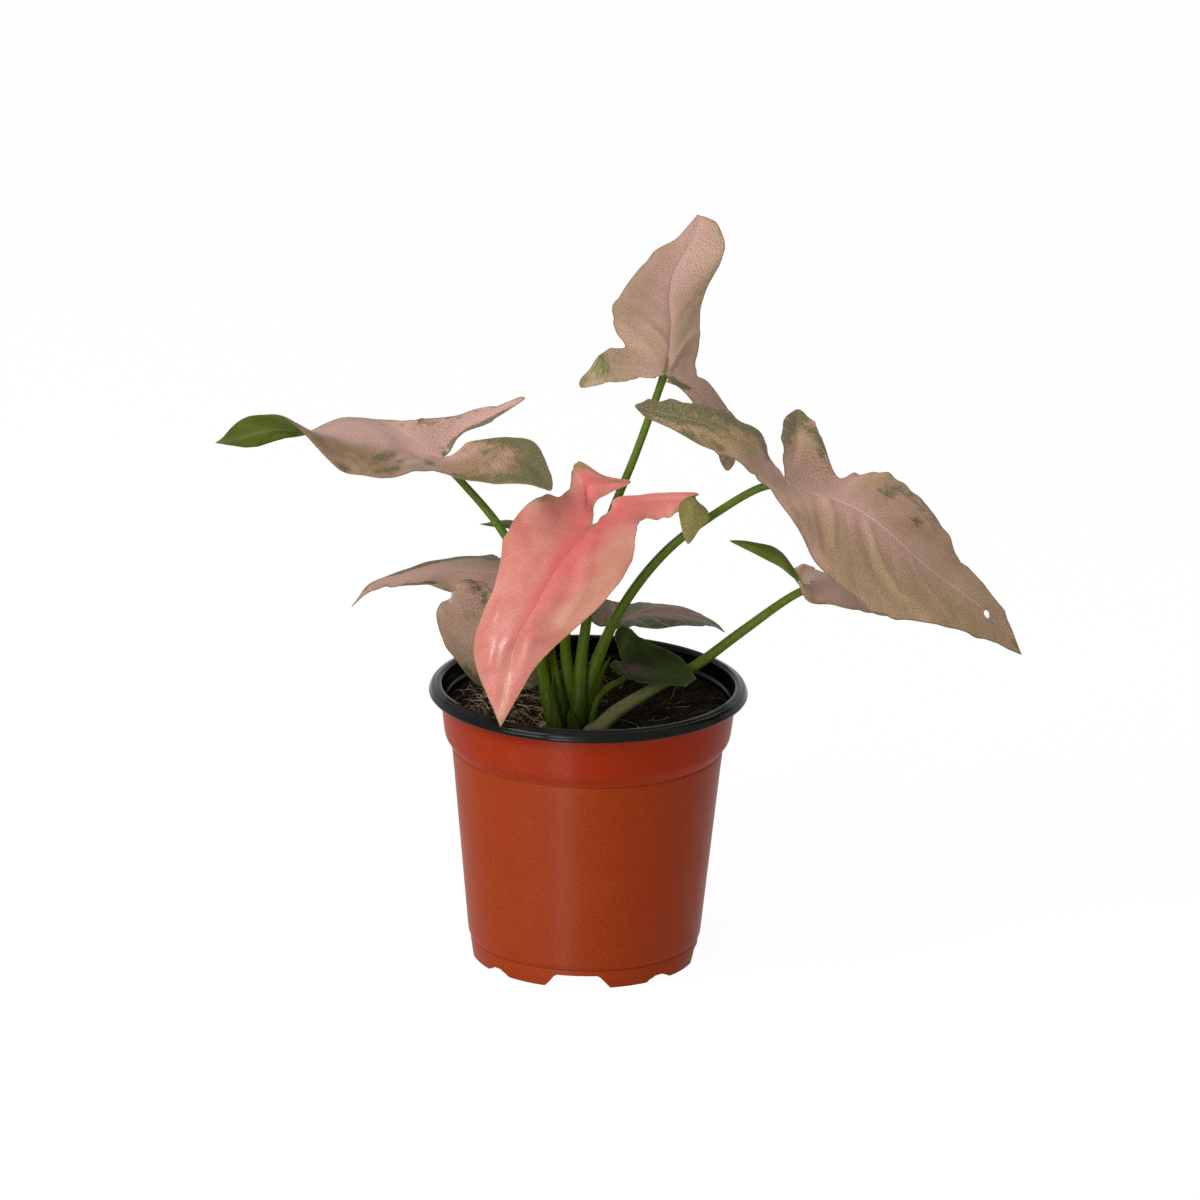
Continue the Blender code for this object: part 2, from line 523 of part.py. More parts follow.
def build_blade(name, leaf, place, parent):
    """The blade as a thin sheet on the flat outline, bent into place and given its thickness."""
    outline = flat_outline(leaf)
    grid = min(BLADE_GRID, BLADE_GRID_OF_LENGTH * leaf["length"], BLADE_GRID_OF_WIDTH * leaf["right"][0])
    points = [Vector(p) for p in outline] + [Vector(p) for p in inside_points(outline, grid)]
    rim = list(range(len(outline)))
    flat, _, faces, *_ = delaunay_2d_cdt(points, [], [rim], 1, MERGE_WITHIN)
    real = place([tuple(p) for p in flat])
    bm = bmesh.new()
    verts = [bm.verts.new(Vector(p) * MM) for p in real]
    for face in faces:
        turn = (flat[face[1]] - flat[face[0]]).cross(flat[face[2]] - flat[face[0]])
        bm.faces.new([verts[i] for i in (face if turn > 0 else face[::-1])])
    mesh = bpy.data.meshes.new(name)
    bm.to_mesh(mesh)
    bm.free()
    mesh.shade_smooth()
    mat = plain_material(name, LEAF_COLOURS[name], LEAF_ROUGHNESS)
    blade = add_object(name + "_blade", mesh, parent, mat)
    sheet = blade.modifiers.new("thickness", "SOLIDIFY")
    sheet.thickness = BLADE_T * MM
    sheet.offset = 0.0


def build_stalk(name, leaf, place, parent):
    """The petiole: a tapering tube from the crown to just under the blade's junction."""
    foot_r, top_r = leaf["radius"]
    junction = Vector(place((0.0, JUNCTION_Y))[0])
    normal = upper_normal(place, (0.0, JUNCTION_Y))
    route = leaf["stalk"]
    last = Vector(route[-1])
    lean = (junction - last).normalized()
    drop = BLADE_T / 2 + STALK_SEAT + top_r * math.sqrt(max(0.0, 1.0 - lean.dot(normal) ** 2))
    end = junction - normal * drop
    foot = Vector((*route[0], CROWN_Z[1] + GAP))
    guide = [foot, foot + Vector((0, 0, STALK_FIRST_STEP))] + [Vector(p) for p in route[1:]] + [end]
    path = smooth_path([tuple(p) for p in guide], STALK_STEP * foot_r)

    curve = bpy.data.curves.new(name + "_petiole", "CURVE")
    curve.dimensions = "3D"
    curve.bevel_depth = foot_r * MM
    curve.bevel_resolution = STALK_ROUNDNESS
    curve.use_fill_caps = True
    spline = curve.splines.new("POLY")
    spline.points.add(len(path) - 1)
    run = np.concatenate([[0.0], np.cumsum(np.linalg.norm(np.diff(path, axis=0), axis=1))])
    for point, spot, done in zip(spline.points, path, run / run[-1]):
        point.co = (*(Vector(spot) * MM), 1.0)
        point.radius = 1.0 + (top_r / foot_r - 1.0) * done
    add_object(name + "_petiole", curve, parent, plain_material(name + "_stalk", *STALK_GREEN))


def main():
    clear_scene()
    axis = bpy.data.objects.new("pot_axis", None)
    bpy.context.scene.collection.objects.link(axis)
    axis.location = (POT_AXIS_X * MM, 0.0, 0.0)
    build_pot(axis)
    build_mix(axis)
    build_crown(axis)
    for name, leaf in LEAVES.items():
        place = bend(leaf)
        build_blade(name, leaf, place, axis)
        build_stalk(name, leaf, place, axis)


main()
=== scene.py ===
# %% [markdown]
# # A potted arrowhead plant
# A young syngonium in a two-tone nursery pot: ten thin blades on ten stalks, a dark fibrous mix and a
# thermoformed plastic pot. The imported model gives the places, so this script starts from it and builds
# the looks on top, piece by piece, always in millimetres from the pot's axis.

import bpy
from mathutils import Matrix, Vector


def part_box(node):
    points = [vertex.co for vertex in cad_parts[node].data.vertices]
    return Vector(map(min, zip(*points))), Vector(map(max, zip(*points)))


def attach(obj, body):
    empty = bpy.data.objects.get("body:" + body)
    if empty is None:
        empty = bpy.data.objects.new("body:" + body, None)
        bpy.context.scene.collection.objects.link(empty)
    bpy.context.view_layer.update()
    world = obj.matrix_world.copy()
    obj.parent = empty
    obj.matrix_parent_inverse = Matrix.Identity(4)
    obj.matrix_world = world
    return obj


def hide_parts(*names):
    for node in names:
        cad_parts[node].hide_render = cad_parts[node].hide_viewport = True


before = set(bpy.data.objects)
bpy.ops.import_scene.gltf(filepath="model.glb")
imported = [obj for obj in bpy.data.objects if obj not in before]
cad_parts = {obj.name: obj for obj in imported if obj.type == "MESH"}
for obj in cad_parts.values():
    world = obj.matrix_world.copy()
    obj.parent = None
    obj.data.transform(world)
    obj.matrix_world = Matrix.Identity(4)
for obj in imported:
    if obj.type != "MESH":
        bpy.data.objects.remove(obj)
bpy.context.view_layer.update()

# %% The rest of the tools, and the pot's axis
import math

import bmesh
import bpy
import numpy as np
from mathutils import Matrix, Vector, noise
from mathutils.geometry import delaunay_2d_cdt

MM = 0.001
pot_low, pot_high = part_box("pot")
AXIS = Vector(((pot_low.x + pot_high.x) / 2, (pot_low.y + pot_high.y) / 2, pot_low.z))
print(f"pot: {(pot_high.x - pot_low.x) / MM:.1f} mm across, {(pot_high.z - pot_low.z) / MM:.1f} mm high")

# %% [markdown]
# ## Handing a piece over
# The plant is one body: nothing on it turns or slides. Every piece could be built in its own way, but one
# road for all of them keeps the places right. Each is a mesh in millimetres around the pot's axis; the helper
# scales it, puts it in place, hangs it on the plant's one body and hides the imported solid it stands for.

# %% Pieces
def add_object(name, data):
    """An object in the scene, with its origin on the pot's axis."""
    obj = bpy.data.objects.new(name, data)
    bpy.context.scene.collection.objects.link(obj)
    obj.location = AXIS
    return obj


def piece(name, verts, faces, slot, materials, replaces=None, face_kinds=None, sharp=40.0):
    """A mesh object from vertices in mm round the pot's axis."""
    mesh = bpy.data.meshes.new(name)
    mesh.from_pydata((np.asarray(verts, dtype=float) * MM).tolist(), [], [list(f) for f in faces])
    mesh.shade_smooth()
    mesh.set_sharp_from_angle(angle=math.radians(sharp))
    for mat in materials:
        mesh.materials.append(mat)
    if face_kinds is not None:
        mesh.polygons.foreach_set("material_index", face_kinds)
    obj = add_object(name, mesh)
    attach(obj, "root")
    if replaces:
        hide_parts(replaces)
    return obj


def give_vectors(obj, name, rows):
    """Stores three numbers on each vertex, for the materials to read."""
    layer = obj.data.attributes.new(name, "FLOAT_VECTOR", "POINT")
    layer.data.foreach_set("vector", np.asarray(rows, dtype=np.float32).ravel())


print("every piece has its origin at, m:", [round(v, 4) for v in AXIS])


# %% [markdown]
# ## Writing shaders in a few words
# Node trees get long when every link is spelled out. These helpers take either a number, a colour or
# another node's output, so a material reads from top to bottom like a recipe.

# %% Nodes and their values
def node(tree, kind, **settings):
    made = tree.nodes.new(kind)
    for key, value in settings.items():
        setattr(made, key, value)
    return made


def put(tree, socket, value):
    if isinstance(value, bpy.types.NodeSocket):
        tree.links.new(value, socket)
    elif isinstance(value, tuple) and len(value) == 3 and socket.type == "RGBA":
        socket.default_value = (*value, 1.0)
    else:
        socket.default_value = value


def put_all(tree, made, *values):
    """Fills a node's first sockets in order, and returns its first output."""
    for socket, value in zip(made.inputs, values):
        put(tree, socket, value)
    return made.outputs[0]


def settle(made, **numbers):
    """Constants on a node's own sockets; _ stands for a space in a socket's name."""
    for key, number in numbers.items():
        made.inputs[key.replace("_", " ")].default_value = number


# %% [markdown]
# Colours are mixed one over another, as thin coats of paint would be. A soft step turns a distance or
# a cloud of noise into the share of the next coat.

# %% Coats and soft steps
def mix(tree, share, low, high):
    """A colour between two others."""
    made = node(tree, "ShaderNodeMix", data_type="RGBA")
    for index, value in ((0, share), (6, low), (7, high)):
        put(tree, made.inputs[index], value)
    return made.outputs[2]


def layered(tree, body, layers):
    """Colours laid over a body one after another, each by its own share."""
    for share, colour in layers:
        body = mix(tree, share, body, colour)
    return body


def sums(tree, operation, first, second=0.0, clamp=False):
    return put_all(tree, node(tree, "ShaderNodeMath", operation=operation, use_clamp=clamp), first, second)


def times(tree, first, second):
    return sums(tree, "MULTIPLY", first, second)


def fade(tree, value, start, end, low=0.0, high=1.0):
    """A soft step: low up to start, high from end on. The ends may come in either order."""
    if start > end:
        start, end, low, high = end, start, high, low
    made = node(tree, "ShaderNodeMapRange", interpolation_type="SMOOTHSTEP")
    return put_all(tree, made, value, start, end, low, high)


# %% [markdown]
# Nothing that grew is even. Noise makes the patches and the grain, and a bump gives the light a
# relief that is too fine to model.

# %% Noise, shade and relief
def cloud(tree, where, scale, detail=3.0, roughness=0.55, distortion=0.0):
    """Cloudy noise from 0 to 1."""
    made = node(tree, "ShaderNodeTexNoise")
    put(tree, made.inputs["Vector"], where)
    settle(made, Scale=scale, Detail=detail, Roughness=roughness, Distortion=distortion)
    return made.outputs[0]


def shaded(tree, colour, factor):
    """A colour made lighter or darker by a factor."""
    made = node(tree, "ShaderNodeVectorMath", operation="SCALE")
    put(tree, made.inputs[0], colour)
    put(tree, made.inputs["Scale"], factor)
    return made.outputs[0]


def grainy(tree, colour, grain, amount):
    """A colour that a fine grain makes lighter and darker by an amount."""
    return shaded(tree, colour, fade(tree, grain, 0.3, 0.7, 1.0 + amount, 1.0 - amount))


def bump(tree, height, strength, distance):
    made = node(tree, "ShaderNodeBump")
    put(tree, made.inputs["Height"], height)
    settle(made, Strength=strength, Distance=distance)
    return made.outputs[0]


# %% [markdown]
# A material reads where it is, or numbers that its mesh carries. What several materials need goes in a
# node group, which is made once and used like a single node.

# %% What materials read, and groups
def stored(tree, name, output):
    """Numbers that the mesh carries."""
    return node(tree, "ShaderNodeAttribute", attribute_name=name).outputs[output]


def place_on_object(tree):
    return node(tree, "ShaderNodeTexCoord").outputs["Object"]


def parts_of(tree, vector):
    made = node(tree, "ShaderNodeSeparateXYZ")
    put(tree, made.inputs[0], vector)
    return made.outputs


def new_material(name):
    mat = bpy.data.materials.new(name)
    mat.use_nodes = True
    return mat, mat.node_tree, mat.node_tree.nodes["Principled BSDF"]


def finish(tree, shader, colour, relief, **numbers):
    """A material's colour, its relief and its constants."""
    put(tree, shader.inputs["Base Color"], colour)
    put(tree, shader.inputs["Normal"], relief)
    settle(shader, **numbers)


def new_group(name, takes, gives):
    """A shader node group; takes and gives map a socket's name to its default number or vector."""
    tree = bpy.data.node_groups.new(name, "ShaderNodeTree")
    kinds = {float: "NodeSocketFloat", Vector: "NodeSocketVector"}
    for way, sockets in (("INPUT", takes), ("OUTPUT", gives)):
        for label, default in sockets.items():
            socket = tree.interface.new_socket(label, in_out=way, socket_type=kinds[type(default)])
            socket.default_value = default
    return tree, node(tree, "NodeGroupInput").outputs, node(tree, "NodeGroupOutput").inputs


def use_group(tree, group, **values):
    made = node(tree, "ShaderNodeGroup", node_tree=group)
    for key, value in values.items():
        put(tree, made.inputs[key.replace("_", " ")], value)
    return made.outputs


# %% [markdown]
# ## What the blade's mesh tells its material
# A leaf's colour follows its anatomy: pink along the rib, green flecks near the margin, pale lines on
# the veins. So each blade's vertices carry a few sets of numbers, worked out from the flat leaf: where
# they lie (with the distance from the edge), how far they are from the nearest rib and at which vein,
# how strongly that spot is tinted, and how polished it is.

# %% A group that reads the leaf's numbers
leaf_map, _, given = new_group(
    "leaf_map", {}, {"Flat": Vector(), "Edge": 0.0, "Rib": 0.0, "Place": 0.0, "Vein": 0.0,
                     "Rose": 0.0, "Green": 0.0, "Pale": 0.0, "Shine": 0.0})
x, y, edge = parts_of(leaf_map, stored(leaf_map, "flat", "Vector"))
put(leaf_map, given["Flat"], put_all(leaf_map, node(leaf_map, "ShaderNodeCombineXYZ"), x, y))
put(leaf_map, given["Edge"], edge)
for layer, labels in (("veins", ("Rib", "Place", "Vein")), ("paint", ("Rose", "Green", "Pale"))):
    for label, output in zip(labels, parts_of(leaf_map, stored(leaf_map, layer, "Vector"))):
        put(leaf_map, given[label], output)
put(leaf_map, given["Shine"], stored(leaf_map, "shine", "Fac"))
print("group:", leaf_map.name, [s.name for s in given if s.name])

# %% [markdown]
# ## Vein lines
# The side veins leave the rib at an even spacing, so a repeating ramp along the rib, measured on the
# slant, gives them all. The rib is a line of its own, which thins towards the tip.

# %% A group that draws ribs and veins
VEIN_SPACING = 11.0  # mm along the rib
VEIN_WIDTH = 0.35

leaf_veins, taken, given = new_group(
    "leaf_veins", {"Rib": 0.0, "Place": 0.0, "Vein": 0.0, "Spacing": VEIN_SPACING, "Rib Width": 0.5},
    {"Rib Line": 0.0, "Vein Lines": 0.0, "Height": 0.0})
turn = sums(leaf_veins, "DIVIDE", taken["Place"], taken["Spacing"])
off = sums(leaf_veins, "ABSOLUTE", sums(leaf_veins, "SUBTRACT", sums(leaf_veins, "FRACT", turn), 0.5))
near = sums(leaf_veins, "DIVIDE", times(leaf_veins, off, taken["Spacing"]), VEIN_WIDTH)
line = times(leaf_veins, fade(leaf_veins, near, 1.6, 0.3), taken["Vein"])
rib = fade(leaf_veins, sums(leaf_veins, "DIVIDE", taken["Rib"], taken["Rib Width"]), 1.5, 0.4)
put(leaf_veins, given["Rib Line"], rib)
put(leaf_veins, given["Vein Lines"], line)
put(leaf_veins, given["Height"], sums(leaf_veins, "ADD", rib, times(leaf_veins, line, 0.5)))
print("group:", leaf_veins.name)

# %% [markdown]
# ## Flecks and grain
# Two more effects are shared: ragged green flecks that gather at the margin, as in a variegated leaf,
# and the fine speckled grain of the leaf's cells.

# %% Groups for flecks and grain
MARGIN_PUSH = 0.42   # how much more the flecks spread at the margin
EVEN_GREEN = 0.45    # the share of a green dab that has no flecks in it
GRAIN_SIZE = 0.38    # mm

leaf_flecks, taken, given = new_group(
    "leaf_flecks", {"Flat": Vector(), "Edge": 0.0, "Green": 0.0, "Reach": 6.0, "Amount": 0.5},
    {"Mask": 0.0})
long = put_all(leaf_flecks, node(leaf_flecks, "ShaderNodeVectorMath", operation="MULTIPLY"),
               taken["Flat"], (1.5, 0.7, 1.0))
ragged = cloud(leaf_flecks, long, 0.30, 6.0, 0.7, 0.6)
speck = cloud(leaf_flecks, taken["Flat"], 1.5, 3.0, 0.6)
close = sums(leaf_flecks, "SUBTRACT", 1.0, sums(leaf_flecks, "DIVIDE", taken["Edge"], taken["Reach"]), True)
push = times(leaf_flecks, times(leaf_flecks, close, taken["Amount"]), MARGIN_PUSH)
level = sums(leaf_flecks, "ADD", fade(leaf_flecks, ragged, 0.3, 0.7, 0.25, 0.75),
             sums(leaf_flecks, "ADD", push, taken["Green"]))
mottled = times(leaf_flecks, fade(leaf_flecks, level, 0.64, 1.08),
                fade(leaf_flecks, speck, 0.3, 0.62, 0.6, 1.0))
even = sums(leaf_flecks, "MULTIPLY", taken["Green"], EVEN_GREEN, True)
put(leaf_flecks, given["Mask"], sums(leaf_flecks, "MAXIMUM", mottled, even))

leaf_grain, taken, given = new_group("leaf_grain", {"Flat": Vector()}, {"Value": 0.0})
put(leaf_grain, given["Value"], cloud(leaf_grain, taken["Flat"], 1.0 / GRAIN_SIZE, 4.0, 0.5))
print("groups:", leaf_flecks.name, leaf_grain.name)

# %% [markdown]
# ## The upper face of a blade
# The recipe is the same for every leaf: two cloudy body colours, rose towards the rib, paler patches,
# green flecks, then the rib and vein lines and a thin rim. Only the colours and amounts differ. The
# newest leaf is also polished in a few dabs; on the others the gloss is one plain number.

# %% Upper face recipe
POLISH = 0.16       # a dab of shine takes this much roughness away
POLISH_GLOSS = 0.2  # and adds this much gloss


def read_leaf(tree, spacing, rib_width):
    """The leaf's own numbers, its grain, and its rib and vein lines."""
    here = use_group(tree, leaf_map)
    lined = use_group(tree, leaf_veins, Rib=here["Rib"], Place=here["Place"], Vein=here["Vein"],
                      Spacing=spacing, Rib_Width=rib_width)
    return here, use_group(tree, leaf_grain, Flat=here["Flat"])["Value"], lined


def cloudy_body(tree, where, scale, thin, thick, low, high):
    """Two colours in soft patches."""
    return mix(tree, fade(tree, cloud(tree, where, scale, 3.0), thin, thick), low, high)


def upper_face(name, dark, light, rose, green, rib, vein, rim, pale=(0.40, 0.29, 0.16), flecks=0.5,
               reach=6.0, spacing=VEIN_SPACING, lines=0.08, rib_line=0.6, rib_width=0.5, roughness=0.5,
               gloss=0.25, speckle=0.45, shiny=False):
    """Each colour is one coat; reach, spacing and rib_width are in mm, the other numbers are shares."""
    mat, tree, shader = new_material(name)
    here, grain, lined = read_leaf(tree, spacing, rib_width)
    mask = use_group(tree, leaf_flecks, Flat=here["Flat"], Edge=here["Edge"], Green=here["Green"],
                     Reach=reach, Amount=flecks)["Mask"]
    drift = cloud(tree, here["Flat"], 0.16, 4.0, 0.6)
    body = layered(tree, cloudy_body(tree, here["Flat"], 0.06, 0.35, 0.65, dark, light), [
        (times(tree, here["Rose"], fade(tree, drift, 0.25, 0.6, 0.6, 1.0)), rose),
        (times(tree, here["Pale"], fade(tree, drift, 0.7, 0.4, 0.6, 1.0)), pale),
        (mask, green),
        (times(tree, lined["Vein Lines"], lines), vein),
        (times(tree, lined["Rib Line"], rib_line), rib),
        (fade(tree, here["Edge"], 0.6, 0.1, 0.0, 0.85), rim)])
    rough = fade(tree, grain, 0.3, 0.7, roughness - 0.06, roughness + 0.08)
    if shiny:
        rough = sums(tree, "SUBTRACT", rough, times(tree, here["Shine"], POLISH))
        put(tree, shader.inputs["Specular IOR Level"],
            fade(tree, here["Shine"], 0.0, 1.0, gloss, gloss + POLISH_GLOSS))
    else:
        settle(shader, Specular_IOR_Level=gloss)
    put(tree, shader.inputs["Roughness"], rough)
    height = sums(tree, "SUBTRACT", times(tree, grain, 0.35), lined["Height"])
    finish(tree, shader, grainy(tree, body, grain, speckle), bump(tree, height, 0.35, 0.18 * MM))
    print(f"{name}: {len(tree.nodes)} nodes")
    return mat


# %% [markdown]
# ## The underside
# Underneath, the veins stand proud and the leaf is a flat yellow-green, matt and a little paler on the
# rib. It has no flecks, so a shorter recipe does.

# %% Underside recipe
def underside(name, dark, light, rib, spacing=VEIN_SPACING):
    """Two body colours and the rib's, which also tints the veins."""
    mat, tree, shader = new_material(name)
    here, grain, lined = read_leaf(tree, spacing, 0.8)
    body = layered(tree, cloudy_body(tree, here["Flat"], 0.09, 0.3, 0.7, dark, light), [
        (times(tree, here["Pale"], 0.5), rib),
        (times(tree, lined["Vein Lines"], 0.15), rib),
        (times(tree, lined["Rib Line"], 0.5), rib)])
    relief = bump(tree, sums(tree, "ADD", grain, lined["Height"]), 0.3, 0.2 * MM)
    finish(tree, shader, grainy(tree, body, grain, 0.25), relief, Roughness=0.55, Specular_IOR_Level=0.12)
    print(f"{name}: {len(tree.nodes)} nodes")
    return mat


# %% [markdown]
# ## The shape of an arrowhead leaf
# Laid flat, the blade is a shield with two lobes behind the stalk. Its outline follows a few numbers:
# length, half width, and the lobes' length, spread and width. In the air every leaf curls its own way,
# so the same stations round the outline and along the rib also get a place in space, and a thin-plate
# map carries the flat leaf, with everything drawn on it, from one to the other.

# %% Stations on the flat leaf
SIDES = {"left": -1.0, "right": 1.0}
SIDE_STATIONS = [(0.01, 0.72), (0.13, 0.93), (0.30, 1.00), (0.50, 0.90), (0.70, 0.62), (0.87, 0.30)]
LOBE_STATIONS = {
    "outer a": (0.38, 1.00), "outer b": (0.74, 0.72), "outer c": (0.90, 0.42), "tip": (1.00, 0.00),
    "inner c": (0.90, -0.40), "inner b": (0.74, -0.60), "inner a": (0.38, -0.55),
}
FIVE = ("outer a", "outer b", "tip", "inner b", "inner a")
SIX_OUTER = ("outer a", "outer b", "outer c", "tip", "inner b", "inner a")
SIX_INNER = ("outer a", "outer b", "tip", "inner c", "inner b", "inner a")
SEVEN = tuple(LOBE_STATIONS)
print(len(SIDE_STATIONS), "stations on a margin, up to", len(LOBE_STATIONS), "on a lobe")

# %% [markdown]
# ## Where each leaf hangs
# Left and right give a side of the flat leaf: its half width, its lobe's length, the lobe's spread in
# degrees and half its width. Radius is the stalk's, at its foot and at the blade. The rest are places
# in the air: the rib from the stalk to the tip, both margins, both lobes and the stalk's route. The
# route's first pair is where the stalk stands on the crown.

